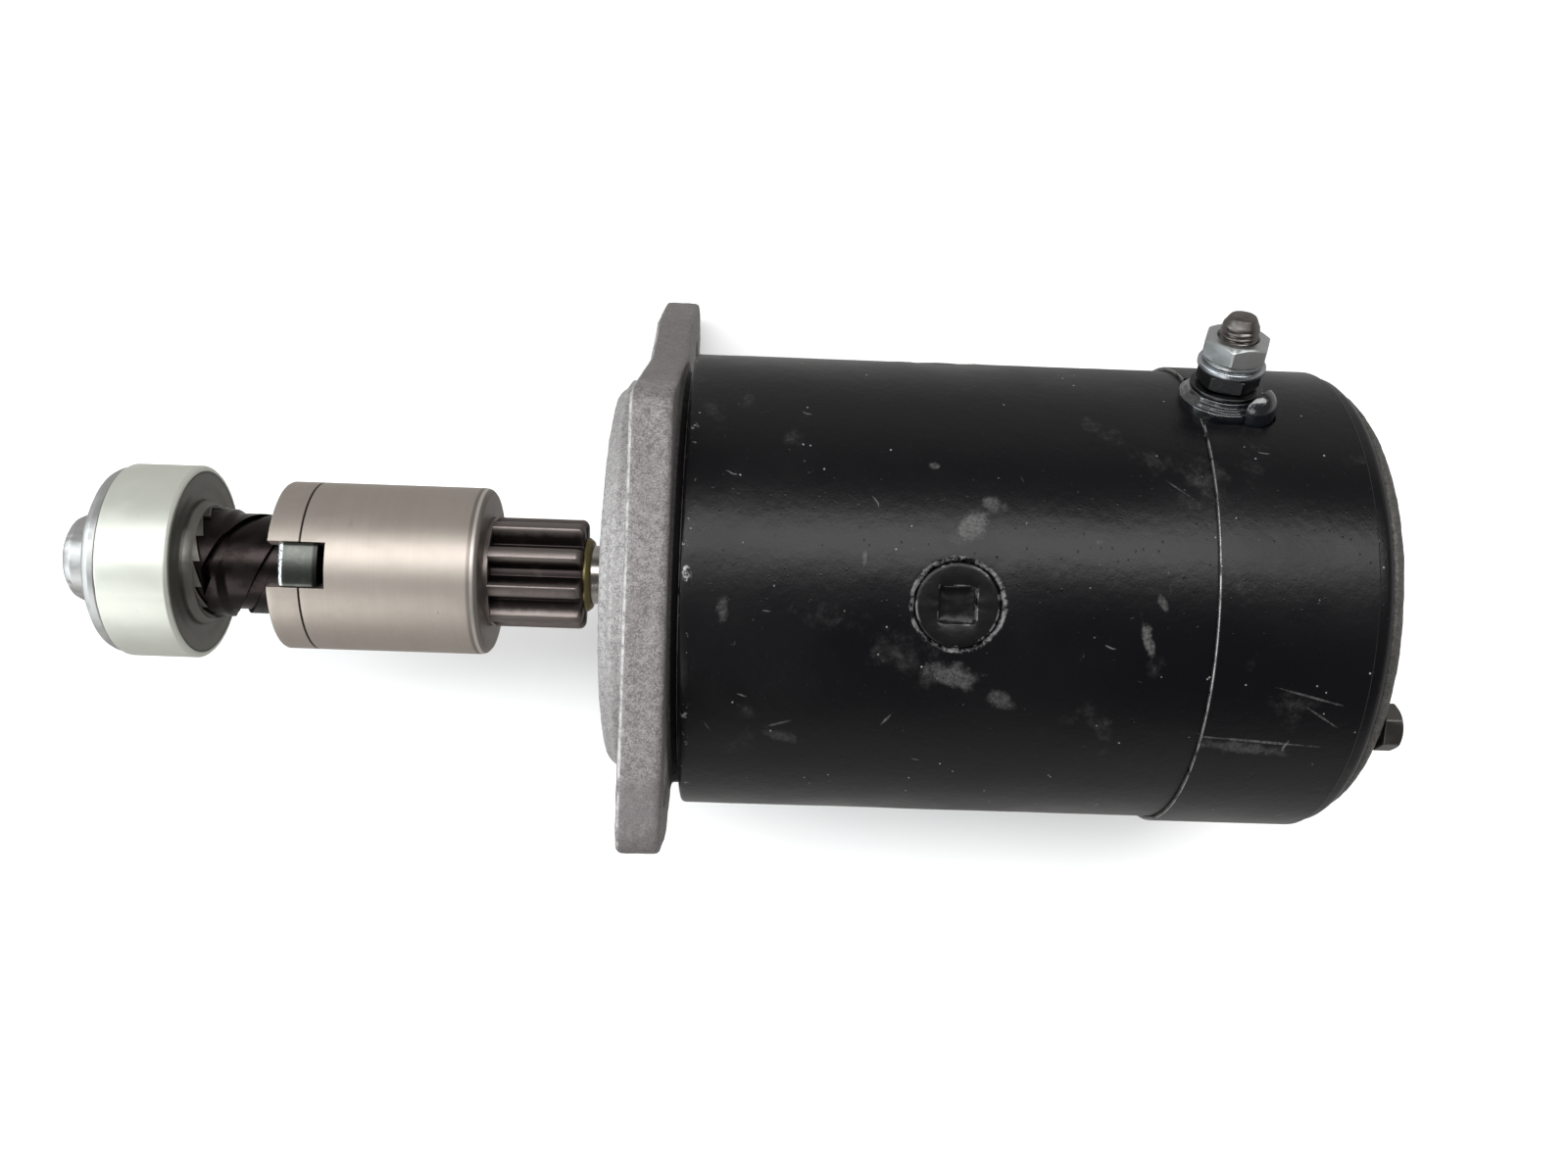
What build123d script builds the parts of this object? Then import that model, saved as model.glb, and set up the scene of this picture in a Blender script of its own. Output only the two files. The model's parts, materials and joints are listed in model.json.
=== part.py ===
from build123d import *
import math
import os

os.makedirs("parts", exist_ok=True)

# Starter motor with a screw-type inertia drive.
# +X runs along the shaft from the drive to the commutator end, with X = 0 on the
# mounting face of the flange. +Z is up with the motor lying on the flat of its flange.
# Angles about the shaft are counted from +Y towards +Z.

# ---- driving dimensions (mm, degrees) ----
YOKE_R = 52.4
YOKE_WALL = 6.0
YOKE_FRONT = 11.0
YOKE_REAR = 155.4
YOKE_BORE_R = YOKE_R - YOKE_WALL

FLANGE_THICK = 9.1
FLANGE_HALF = 54.0
PILOT_R = 46.0
PILOT_LENGTH = 3.7
PILOT_NOSE_R = 44.0
PILOT_NOSE_X = -6.0
MOUNT_HOLE_R = 5.3
MOUNT_HOLES = ((57.0, -38.0), (-42.0, 40.0))

POLE_ANGLE = 94.0
POLE_COUNT = 4
POLE_X = (38.0, 102.0)
POLE_FACE_R = 35.8
POLE_SCREW_X = 67.0
POLE_SCREW_HEAD_R = 8.65

SHAFT_R = 6.9
MIDDLE_R = 9.0
TAIL_R = 6.0
RUNNING_GAP = 0.05
CORE_R = 35.2
CORE_X = (40.0, 100.0)
CORE_SLOTS = 21
COMMUTATOR_R = 20.0
COMMUTATOR_X = (121.0, 145.0)

BAND_X = (119.2, 151.6)
BAND_IN_R = YOKE_R + 0.05
BAND_OUT_R = 53.3
BAND_CLAMP_ANGLE = 222.0
BAND_CLAMP_R = 58.0
BAND_CLAMP_GAP = 4.0

TERMINAL_ANGLE = 37.0
TERMINAL_X = 125.3
TERMINAL_TIP_R = 72.6
STUD_R = 3.97
STUD_GRIP_R = 3.6
STUD_NUT_TOP_R = 67.9
STUD_CONE_R = 71.0
STUD_FLAT_R = 3.0
STUD_GAP = 0.03

BOLT_CIRCLE_R = 42.6
BOLT_ANGLE = 129.3
BOLT_R = 3.0
BOLT_HEAD_X = (160.6, 165.0)
BOLT_HEAD_AF = 10.0

BRUSH_X = (125.0, 141.0)
BRUSH_WIDTH = 9.0
BRUSH_TOP_R = 34.0
BRUSH_WINDOW_X = (124.0, 144.0)

SCREW_LEAD = 37.5
SCREW_STARTS = 3
SCREW_R = 11.7
SCREW_ROOT_R = 10.2
GROOVE_HALF_ANGLE = 14.5
KEY_HALF_ANGLE = 12.0
GROOVE_X_AT_TOP = -96.5

PINION_TEETH = 9
PINION_TIP_R = 12.95
PINION_ROOT_R = 8.8
PINION_X = (-34.4, -13.4)
PINION_BORE_R = 7.9
DISC_X = (-41.5, -39.0)
DISC_R = 12.7

BARREL_R = 19.55
BARREL_BORE_R = 15.5
BARREL_X = (-82.1, -36.0)
RING_SPLIT_X = -74.9
RING_SEAT_X = -80.8
RING_SEAT_R = 17.4
SLOT_WIDTH = 10.3
SLOT_END_X = -69.2
LUG_WIDTH = 9.8
NUT_X = (-79.5, -70.9)
NUT_BORE_R = 13.2
NUT_R = 15.2
NUT_THREAD_X = -75.4

CUP_R = 22.5
CUP_X = (-118.7, -102.5)
CAP_TIP_X = -132.5
CAP_BORE_X = -127.2

COLLAR_R = 14.6
COLLAR_BORE_R = 12.75
RATCHET_R = 13.3
RATCHET_X = (-100.5, -98.7)
RATCHET_TEETH = 14


# ---- shape helpers ----
def turned(*outline):
    """Solid of revolution about the shaft, from (x, radius) corners."""
    return revolve(make_face(Polyline(*outline, close=True)), Axis.X)


def tube(x0, x1, inner, outer):
    """Plain ring about the shaft."""
    return turned((x0, inner), (x1, inner), (x1, outer), (x0, outer))


def rod(x0, x1, radius):
    """Plain round bar on the shaft axis."""
    return turned((x0, 0), (x1, 0), (x1, radius), (x0, radius))


def sector(x0, x1, inner, outer, middle, half):
    """Part of a ring that spans middle - half to middle + half degrees."""
    profile = make_face(Polyline((x0, inner), (x1, inner), (x1, outer), (x0, outer), close=True))
    return turn(revolve(profile, Axis.X, revolution_arc=2 * half), middle - half)


def turn(shape, angle):
    """The shape turned about the shaft."""
    return Rot(angle, 0, 0) * shape


def out_to(shape, x, angle):
    """A shape drawn along +Z at the origin, stood on the shaft axis so that it points outwards."""
    return turn(Pos(x, 0, 0) * shape, angle - 90)


def disc(low, high, radius):
    """Round bar along +Z between two heights."""
    return Pos(0, 0, (low + high) / 2) * Cylinder(radius, high - low)


def block(low, high, size_x, size_y, x=0.0, y=0.0):
    """Box along +Z between two heights."""
    return Pos(x, y, (low + high) / 2) * Box(size_x, size_y, high - low)


def hexagon(low, high, across_flats, rotation=0.0):
    """Hexagonal prism along +Z with its top and bottom corners turned off."""
    corner_r = across_flats / math.sqrt(3)
    prism = extrude(RegularPolygon(corner_r, 6, rotation=rotation), high - low)
    blank = Cylinder(corner_r, high - low, align=(Align.CENTER, Align.CENTER, Align.MIN))
    blank = chamfer(blank.edges(), length=0.45, length2=0.9)
    return Pos(0, 0, low) * (prism & blank)


def along_shaft(shape, x, y, z):
    """A shape drawn along +Z, laid along +X at a point."""
    return Pos(x, y, z) * Rot(0, 90, 0) * shape


def polar(radius, angle):
    """Y and Z of a point at a radius and angle about the shaft."""
    return radius * math.cos(math.radians(angle)), radius * math.sin(math.radians(angle))


def pole_angles():
    """Middle of each pole."""
    return [POLE_ANGLE + 360 / POLE_COUNT * i for i in range(POLE_COUNT)]


# ---- drive end bracket ----
def flange_plate():
    """Cast flange plate with two unequal ears and two long flats."""
    corners = (
        (-56.0, FLANGE_HALF),
        (37.0, FLANGE_HALF),
        (51.5, 4.0),
        (64.0, -15.0),
        (73.5, -42.0),
        (73.5, -FLANGE_HALF),
        (-38.0, -FLANGE_HALF),
        (-48.0, -18.0),
        (-47.2, 16.0),
        (-56.0, 31.0),
    )
    radii = (6.0, 6.0, 18.0, 12.0, 10.0, 8.0, 8.0, 16.0, 10.0, 6.0)
    outline = FilletPolyline(*corners, radius=radii, close=True)
    plate = extrude(Plane.YZ * make_face(outline), FLANGE_THICK)
    rim = plate.faces().sort_by(Axis.X)[0].edges() + plate.faces().sort_by(Axis.X)[-1].edges()
    return fillet(rim, 1.0)


def drive_end_bracket():
    """Flange, pilot, spigot that enters the yoke, and the bearing hub."""
    body = flange_plate()
    body += tube(-PILOT_LENGTH, 1.0, 20.0, PILOT_R)
    nose = turned(
        (PILOT_NOSE_X, 20.0),
        (-PILOT_LENGTH + 0.5, 20.0),
        (-PILOT_LENGTH + 0.5, PILOT_NOSE_R),
        (PILOT_NOSE_X + 1.2, PILOT_NOSE_R),
        (PILOT_NOSE_X, PILOT_NOSE_R - 1.2),
    )
    body += nose
    body += rod(PILOT_NOSE_X, 9.0, 22.0)
    body += rod(FLANGE_THICK - 0.5, YOKE_FRONT, 48.0)
    body += rod(FLANGE_THICK - 0.5, 17.0, YOKE_BORE_R)
    body -= tube(PILOT_NOSE_X - 1, PILOT_NOSE_X + 1.6, 16.0, 38.0)
    body -= turned((12.0, 0), (18.0, 0), (18.0, 36.0), (12.0, 33.0))
    body -= rod(PILOT_NOSE_X - 1, 18.0, 9.5)
    for y, z in MOUNT_HOLES:
        body -= along_shaft(disc(-1, FLANGE_THICK + 1, MOUNT_HOLE_R), 0, y, z)
    for angle in (BOLT_ANGLE, BOLT_ANGLE + 180):
        y, z = polar(BOLT_CIRCLE_R, angle)
        body -= along_shaft(disc(4.0, 18.0, BOLT_R), 0, y, z)
    return body


def drive_end_bush():
    return tube(PILOT_NOSE_X + 0.4, 12.0, SHAFT_R + RUNNING_GAP, 9.5)


# ---- yoke, poles and field ----
def yoke():
    """Steel tube with countersunk pole screw holes, brush windows and the terminal hole."""
    body = turned(
        (YOKE_FRONT, YOKE_BORE_R),
        (YOKE_REAR, YOKE_BORE_R),
        (YOKE_REAR, 50.6),
        (YOKE_REAR - 1.6, YOKE_R),
        (YOKE_FRONT + 1.0, YOKE_R),
        (YOKE_FRONT, YOKE_R - 1.0),
    )
    head = Cone(4.6, POLE_SCREW_HEAD_R + 1.6, 6.2, align=(Align.CENTER, Align.CENTER, Align.MIN))
    for angle in pole_angles():
        body -= out_to(Pos(0, 0, 47.2) * head, POLE_SCREW_X, angle)
        body -= out_to(disc(44.0, 48.0, 4.6), POLE_SCREW_X, angle)
        body -= sector(*BRUSH_WINDOW_X, YOKE_BORE_R - 1, YOKE_R + 1, angle, 12.5)
    body -= out_to(disc(40.0, 60.0, 6.6), TERMINAL_X, TERMINAL_ANGLE)
    return body


def pole_shoe(angle):
    """Pole body against the yoke, with wings that hold the field coil."""
    body = sector(*POLE_X, POLE_FACE_R, 39.8, angle, 33)
    body += sector(*POLE_X, 39.0, YOKE_BORE_R, angle, 17)
    return body - out_to(disc(36.5, 47.0, 4.05), POLE_SCREW_X, angle)


def pole_screw(angle):
    """Countersunk screw with a square socket."""
    top = 51.9
    head_low = 47.35
    body = Pos(0, 0, head_low) * Cone(
        4.5, POLE_SCREW_HEAD_R, top - head_low, align=(Align.CENTER, Align.CENTER, Align.MIN)
    )
    body += disc(38.5, head_low + 0.2, 3.95)
    body -= block(top - 3.2, top + 1, 7.5, 7.5)
    return out_to(body, POLE_SCREW_X, angle)


def field_coil(angle):
    """Taped strip winding round one pole."""
    coil = sector(POLE_X[0] - 8, POLE_X[1] + 8, 40.1, 46.1, angle, 28)
    return coil - sector(POLE_X[0] - 0.5, POLE_X[1] + 0.5, 38.0, 48.0, angle, 17.6)


# ---- cover band ----
def clamp_lug(offset):
    """Turned-out end of the band, offset to one side of the clamp slit."""
    lug = Pos(0, offset, 0) * block(BAND_IN_R, 61.5, 22.0, 1.2)
    lug -= Pos(0, offset, BAND_CLAMP_R) * Rot(90, 0, 0) * Cylinder(2.15, 4.0)
    return out_to(lug, sum(BAND_X) / 2, BAND_CLAMP_ANGLE)


def cover_band():
    """Thin steel band with an open notch for the terminal and a clamp at its slit."""
    body = turned(
        (BAND_X[0], BAND_IN_R),
        (BAND_X[1], BAND_IN_R),
        (BAND_X[1], BAND_OUT_R - 0.3),
        (BAND_X[1] - 0.3, BAND_OUT_R),
        (BAND_X[0] + 0.3, BAND_OUT_R),
        (BAND_X[0], BAND_OUT_R - 0.3),
    )
    slit = block(45, 60, BAND_X[1] - BAND_X[0] + 4, BAND_CLAMP_GAP)
    body -= out_to(slit, sum(BAND_X) / 2, BAND_CLAMP_ANGLE)
    notch = disc(45, 60, 9.9) + block(45, 60, 18.0, 19.8, -9.0)
    body -= out_to(notch, TERMINAL_X, TERMINAL_ANGLE)
    body -= out_to(disc(45, 60, 4.6), TERMINAL_X + 5.2, TERMINAL_ANGLE + 6.5)
    for offset in (-2.6, 2.6):
        body += clamp_lug(offset)
    return body


def band_clamp_screw():
    """Cheese-head screw that pulls the two lugs together."""
    body = Cylinder(2.0, 14.0)
    body += Pos(0, 0, -5.05) * Cylinder(3.6, 2.8)
    body -= Pos(0, 0, -6.2) * Box(8.0, 0.9, 1.4)
    body = Pos(0, 0, BAND_CLAMP_R) * Rot(90, 0, 0) * body
    return out_to(body, sum(BAND_X) / 2, BAND_CLAMP_ANGLE)


def band_clamp_nut():
    """Square nut on the clamp screw."""
    body = Box(7.0, 7.0, 3.0) - Cylinder(2.05, 5.0)
    body = Pos(0, -4.75, BAND_CLAMP_R) * Rot(90, 0, 0) * body
    return out_to(body, sum(BAND_X) / 2, BAND_CLAMP_ANGLE)


# ---- main terminal ----
def at_terminal(shape):
    return out_to(shape, TERMINAL_X, TERMINAL_ANGLE)


def terminal_stud():
    """Stud with a flat head inside the yoke and a turned-down tip.

    Its free thread is drawn at the full radius, and the part held by nuts at the pitch radius.
    """
    body = disc(43.2, STUD_CONE_R, STUD_GRIP_R) + disc(STUD_NUT_TOP_R, STUD_CONE_R, STUD_R)
    tip_length = TERMINAL_TIP_R - STUD_CONE_R
    tip = Cone(STUD_R, STUD_FLAT_R, tip_length, align=(Align.CENTER, Align.CENTER, Align.MIN))
    body += Pos(0, 0, STUD_CONE_R) * tip
    body += block(41.6, 43.4, 11.0, 11.0)
    return at_terminal(body)


def terminal_insulator():
    """Stepped moulded bush that lines the hole and stands on the yoke."""
    collar = disc(50.0, 55.0, 9.4) - rod(-20, 20, BAND_IN_R)
    body = disc(44.6, 56.0, 6.4) + collar + disc(54.5, 56.0, 8.0)
    return at_terminal(body - disc(40, 60, STUD_GRIP_R + STUD_GAP))


def terminal_grommet():
    """Half-round locating lug of the terminal seal, standing in the notch of the band."""
    body = disc(50.0, 55.6, 4.2) + Pos(0, 0, 55.6) * Sphere(4.2)
    body -= rod(-20, 20, BAND_IN_R)
    body = out_to(body, TERMINAL_X + 5.2, TERMINAL_ANGLE + 6.5)
    body -= at_terminal(disc(40, 60, 9.5))
    return body - at_terminal(disc(50, 62, 8.1))


def terminal_base_nut():
    return at_terminal(hexagon(56.9, 60.9, 11.6, 8) - disc(50, 70, STUD_GRIP_R + STUD_GAP))


def terminal_base_washer():
    return at_terminal(disc(56.0, 56.9, 7.6) - disc(50, 70, STUD_R + 0.08))


def terminal_flat_washer():
    return at_terminal(disc(60.9, 62.3, 7.1) - disc(50, 70, STUD_R + 0.2))


def terminal_spring_washer():
    """Split ring between the flat washer and the top nut."""
    body = disc(62.3, 63.3, 6.1) - disc(60, 70, STUD_R + 0.1)
    return at_terminal(body - block(60, 70, 6.0, 0.8, 6.0))


def terminal_nut():
    nut = hexagon(63.3, STUD_NUT_TOP_R, 12.7, 22)
    return at_terminal(nut - disc(60, 70, STUD_GRIP_R + STUD_GAP))


# ---- commutator end ----
def commutator_end_bracket():
    """Cast end cover with a spigot in the yoke and a blind bearing boss."""
    body = turned(
        (YOKE_REAR, 0),
        (YOKE_REAR, 50.2),
        (157.0, 50.2),
        (158.8, 48.4),
        (160.0, 45.6),
        (BOLT_HEAD_X[0], 42.0),
        (BOLT_HEAD_X[0], 15.0),
        (163.0, 13.5),
        (163.0, 0),
    )
    body += tube(147.5, YOKE_REAR + 0.5, 43.6, YOKE_BORE_R)
    body += rod(148.5, YOKE_REAR + 0.5, 13.0)
    body -= rod(140.0, 160.5, 8.5)
    for angle in (BOLT_ANGLE, BOLT_ANGLE + 180):
        y, z = polar(BOLT_CIRCLE_R, angle)
        body += along_shaft(disc(147.5, BOLT_HEAD_X[0], 5.2), 0, y, z) & rod(147.0, 161.0, YOKE_BORE_R)
        body -= along_shaft(disc(140.0, 170.0, BOLT_R + 0.2), 0, y, z)
    return body


def commutator_end_bush():
    return tube(149.0, 159.5, TAIL_R + RUNNING_GAP, 8.5)


def through_bolt(angle):
    """Hex-headed bolt from the end cover to the drive end bracket."""
    y, z = polar(BOLT_CIRCLE_R, angle)
    body = disc(6.0, BOLT_HEAD_X[0] + 0.1, BOLT_R - 0.05) + hexagon(*BOLT_HEAD_X, BOLT_HEAD_AF, angle)
    return along_shaft(body, 0, y, z)


# ---- brush gear ----
def brush_holder(angle):
    """Box that guides one brush, on a foot fixed to the end cover."""
    x_mid = sum(BRUSH_X) / 2
    size_x = BRUSH_X[1] - BRUSH_X[0]
    body = block(22.5, 33.0, size_x + 3.2, BRUSH_WIDTH + 3.2)
    body -= block(20.0, 36.0, size_x + 0.4, BRUSH_WIDTH + 0.4)
    foot_length = 155.0 - (BRUSH_X[1] + 1.6)
    foot = Pos((BRUSH_X[1] + 155.0) / 2 + 0.7 - x_mid, 0, 30.0) * Box(foot_length + 0.4, 16.0, 2.0)
    body += foot
    body += Pos(154.6 - x_mid, 0, 31.0) * Box(1.6, 16.0, 12.0)
    post = Pos(0, -10.2, 27.5) * Rot(0, 90, 0) * Cylinder(1.5, size_x * 0.55)
    ear = Pos(0, -8.1, 27.5) * Box(2.0, 5.4, 4.0)
    return out_to(body + post + ear, x_mid, angle)


def brush(angle):
    """Carbon block with a curved running face."""
    size_x = BRUSH_X[1] - BRUSH_X[0]
    body = block(17.0, BRUSH_TOP_R, size_x, BRUSH_WIDTH)
    body = out_to(body, sum(BRUSH_X) / 2, angle)
    return body - rod(COMMUTATOR_X[0] - 2, COMMUTATOR_X[1] + 2, COMMUTATOR_R + RUNNING_GAP)


def brush_spring(angle):
    """Coiled strip on the holder's post, with an arm that rests on the brush."""
    coil = Cylinder(3.9, 5.0) - Cylinder(1.6, 6.0)
    coil = Pos(-5.2, -10.2, 27.5) * Rot(0, 90, 0) * coil
    arm_up = Pos(-5.2, -13.5, 31.2) * Box(5.0, 0.8, 7.4)
    arm_over = Pos(-5.2, -7.2, 34.55) * Box(5.0, 13.4, 0.8)
    body = coil + arm_up + arm_over
    return out_to(body, sum(BRUSH_X) / 2, angle)


# ---- armature ----
def armature_shaft():
    """Stepped shaft that carries the core, the commutator and the drive."""
    return turned(
        (-127.0, 0),
        (-127.0, SHAFT_R - 0.8),
        (-126.2, SHAFT_R),
        (14.4, SHAFT_R),
        (14.4, MIDDLE_R),
        (146.0, MIDDLE_R),
        (146.0, TAIL_R),
        (159.0, TAIL_R),
        (159.0, 0),
    )


def armature_core():
    """Slotted lamination stack."""
    body = tube(*CORE_X, MIDDLE_R, CORE_R)
    slot = Pos(sum(CORE_X) / 2, 0, 29.5) * Box(CORE_X[1] - CORE_X[0] + 2, 4.0, 13.0)
    for i in range(CORE_SLOTS):
        body -= Rot(360 / CORE_SLOTS * i, 0, 0) * slot
    return body


def armature_windings():
    """Copper bars in the slots, joined by the two rings of end turns."""
    body = tube(CORE_X[0] - 12, CORE_X[0] - 0.2, 14.0, 33.0)
    body += tube(CORE_X[1] + 0.2, COMMUTATOR_X[0] - 0.3, 14.0, 31.0)
    bar = Pos(sum(CORE_X) / 2, 0, 28.9) * Box(CORE_X[1] - CORE_X[0] + 2, 3.4, 10.6)
    for i in range(CORE_SLOTS):
        body += Rot(360 / CORE_SLOTS * i, 0, 0) * bar
    return body


def commutator():
    """Copper drum with a riser ring and shallow cuts between its segments."""
    body = tube(*COMMUTATOR_X, MIDDLE_R, COMMUTATOR_R)
    body += tube(COMMUTATOR_X[0], COMMUTATOR_X[0] + 2.4, MIDDLE_R, 22.0)
    cut = Pos(sum(COMMUTATOR_X) / 2, 0, COMMUTATOR_R) * Box(30.0, 0.6, 1.6)
    for i in range(CORE_SLOTS):
        body -= Rot(360 / CORE_SLOTS * i, 0, 0) * cut
    return body


def thrust_washer(x0, x1, shaft_r, outer):
    return tube(x0, x1, shaft_r + 0.1, outer)


# ---- inertia drive ----
def groove_phase(x):
    """Angle of the left-hand screw's first groove at a place along the shaft."""
    return 90 - 360 * (x - GROOVE_X_AT_TOP) / SCREW_LEAD


def twisted(section_corners, x0, x1):
    """Prism that follows the left-hand screw from x0 to x1."""
    outline = Polyline(*[(x0, y, z) for y, z in section_corners], close=True).wire()
    twist = -360 * (x1 - x0) / SCREW_LEAD
    return Solid.extrude_linear_with_rotation(outline, (x0, 0, 0), (x1 - x0, 0, 0), twist)


def screw_prisms(x0, x1, inner, outer, half):
    """One twisted prism for each start of the screw."""
    prisms = []
    for i in range(SCREW_STARTS):
        middle = groove_phase(x0) + 360 / SCREW_STARTS * i
        corners = [
            polar(inner, middle - half),
            polar(outer, middle - half),
            polar(outer, middle + half),
            polar(inner, middle + half),
        ]
        prisms.append(twisted(corners, x0, x1))
    return prisms


def screw_sleeve():
    """Sleeve with a coarse left-hand screw, flared where it enters the ratchet collar."""
    body = turned(
        (-116.0, SHAFT_R + 0.02),
        (-63.0, SHAFT_R + 0.02),
        (-63.0, SCREW_R - 0.6),
        (-63.6, SCREW_R),
        (-94.0, SCREW_R),
        (-95.6, 12.6),
        (-104.0, 12.6),
        (-104.0, SCREW_R),
        (-116.0, SCREW_R),
    )
    for prism in screw_prisms(-99.0, -62.0, SCREW_ROOT_R, 14.5, GROOVE_HALF_ANGLE):
        body -= prism
    return body


def control_nut():
    """Nut with keys in the screw's grooves and a lug in the slot of the barrel."""
    body = tube(*NUT_X, NUT_BORE_R, NUT_R)
    body += tube(NUT_THREAD_X, NUT_X[1], SCREW_R + 0.25, NUT_R)
    lug = Pos(sum(NUT_X) / 2, 0, 16.9) * Box(NUT_X[1] - NUT_X[0], LUG_WIDTH, 5.0)
    body += lug & rod(NUT_X[0] - 1, NUT_X[1] + 1, BARREL_R - 0.1)
    body -= rod(NUT_X[0] - 1, NUT_THREAD_X, NUT_BORE_R)
    for prism in screw_prisms(NUT_THREAD_X + 0.2, NUT_X[1], SCREW_ROOT_R + 0.25, 12.6, KEY_HALF_ANGLE):
        body += prism
    return body


def nut_slot():
    """Space of the slot in the barrel wall, open towards the screw."""
    length = SLOT_END_X - BARREL_X[0] + 2
    return Pos(SLOT_END_X - length / 2, 0, BARREL_R) * Box(length, SLOT_WIDTH, 12.0)


def barrel():
    """Tube that joins the control nut to the pinion."""
    body = turned(
        (RING_SPLIT_X + 0.05, BARREL_BORE_R),
        (DISC_X[1], BARREL_BORE_R),
        (DISC_X[1], DISC_R + 0.1),
        (BARREL_X[1] + 0.5, DISC_R + 0.1),
        (BARREL_X[1] + 0.5, BARREL_R - 1.1),
        (BARREL_X[1] - 0.8, BARREL_R),
        (RING_SPLIT_X + 0.05, BARREL_R),
    )
    body += tube(RING_SEAT_X, RING_SPLIT_X + 0.3, BARREL_BORE_R, RING_SEAT_R)
    return body - nut_slot()


def barrel_ring():
    """Ring that closes the open end of the barrel over the nut."""
    body = turned(
        (BARREL_X[0] + 0.5, 16.2),
        (BARREL_X[0], 16.7),
        (BARREL_X[0], BARREL_R - 0.5),
        (BARREL_X[0] + 0.5, BARREL_R),
        (RING_SPLIT_X - 0.3, BARREL_R),
        (RING_SPLIT_X, BARREL_R - 0.3),
        (RING_SPLIT_X, RING_SEAT_R + 0.05),
        (RING_SEAT_X - 0.05, RING_SEAT_R + 0.05),
        (RING_SEAT_X - 0.05, 16.2),
    )
    return body - nut_slot()


def tooth_outline():
    """Closed outline of the pinion, a gap facing +Z."""
    edges = []
    step = 360 / PINION_TEETH
    flank = ((PINION_ROOT_R, 13.2), (10.9, 10.2), (PINION_TIP_R, 5.2))
    for i in range(PINION_TEETH):
        middle = 90 + step / 2 + step * i
        rise = [polar(radius, middle - half) for radius, half in flank]
        fall = [polar(radius, middle + half) for radius, half in reversed(flank)]
        edges.append(ThreePointArc(*rise))
        edges.append(ThreePointArc(rise[-1], polar(PINION_TIP_R, middle), fall[0]))
        edges.append(ThreePointArc(*fall))
        next_root = polar(PINION_ROOT_R, middle + step - flank[0][1])
        edges.append(ThreePointArc(fall[-1], polar(PINION_ROOT_R, middle + step / 2), next_root))
    return edges


def pinion():
    """Nine-tooth pinion on the disc that closes the barrel."""
    gear = make_face(Curve() + tooth_outline())
    body = Pos(PINION_X[0], 0, 0) * extrude(Plane.YZ * gear, PINION_X[1] - PINION_X[0])
    nose = 1.7
    body &= turned(
        (PINION_X[0], 0),
        (PINION_X[0], PINION_TIP_R),
        (PINION_X[1] - nose, PINION_TIP_R),
        (PINION_X[1] - 0.5, PINION_TIP_R - 0.7),
        (PINION_X[1], PINION_TIP_R - nose),
        (PINION_X[1], 0),
    )
    body += rod(DISC_X[1], PINION_X[0] + 0.1, DISC_R)
    body += rod(*DISC_X, BARREL_BORE_R - 0.1)
    return body - rod(-50.0, 0.0, PINION_BORE_R)


def pinion_bush():
    """Bronze bush, with the collar that shows beyond the teeth."""
    body = tube(DISC_X[0], PINION_X[1] + 0.01, SHAFT_R + RUNNING_GAP, PINION_BORE_R)
    return body + turned(
        (PINION_X[1], SHAFT_R + RUNNING_GAP),
        (PINION_X[1], 9.4),
        (PINION_X[1] + 0.7, 9.4),
        (PINION_X[1] + 1.9, 8.3),
        (PINION_X[1] + 1.9, SHAFT_R + RUNNING_GAP),
    )


def spring_sleeve():
    """Flanged seat that slides on the shaft at the pinion end of the restraining spring."""
    end = DISC_X[0] - 0.3
    body = tube(-44.6, end, SHAFT_R + RUNNING_GAP, PINION_BORE_R)
    return body + tube(-43.2, end, SHAFT_R + RUNNING_GAP, 11.6)


def restraining_spring():
    """Light spring that keeps the pinion out of mesh, drawn as stacked rings joined by a seam."""
    wire = 0.6
    coil_r = 9.6
    x0 = -62.2
    x1 = -43.9
    turns = 6
    body = None
    for i in range(turns):
        x = x0 + (x1 - x0) * i / (turns - 1)
        ring = Pos(x, 0, 0) * Rot(0, 90, 0) * Torus(coil_r, wire)
        body = ring if body is None else body + ring
    link = Pos((x0 + x1) / 2, 0, coil_r) * Rot(0, 90, 0) * Cylinder(wire * 0.8, x1 - x0)
    return body + link


def ratchet_collar():
    """Collar with a crown of saw teeth that face the control nut."""
    root, tip = RATCHET_X
    body = turned(
        (-107.0, COLLAR_BORE_R),
        (-107.0, COLLAR_R),
        (-102.0, COLLAR_R),
        (root, RATCHET_R),
        (root, COLLAR_BORE_R),
    )
    half = RATCHET_R * math.tan(math.pi / RATCHET_TEETH)
    outline = Polyline((root - 0.2, half), (root, half), (tip, -half), (root - 0.2, -half), close=True)
    tooth = Pos(0, 0, COLLAR_BORE_R - 2) * extrude(make_face(outline), 4.0)
    tooth &= tube(root - 0.2, tip, COLLAR_BORE_R, RATCHET_R)
    for i in range(RATCHET_TEETH):
        body += turn(tooth, 360 / RATCHET_TEETH * i)
    return body


def drive_cup():
    """Pressed cup that holds the buffer."""
    return turned(
        (CUP_X[0] + 1.2, 20.4),
        (CUP_X[0], 20.9),
        (CUP_X[0], CUP_R - 1.2),
        (CUP_X[0] + 0.4, CUP_R - 0.4),
        (CUP_X[0] + 1.2, CUP_R),
        (CUP_X[1] - 1.0, CUP_R),
        (CUP_X[1], CUP_R - 1.0),
        (CUP_X[1], 20.6),
        (CUP_X[1] - 0.5, 20.2),
        (CUP_X[1] - 0.5, 14.65),
        (CUP_X[1] - 3.5, 14.65),
        (CUP_X[1] - 3.5, 20.4),
    )


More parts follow.
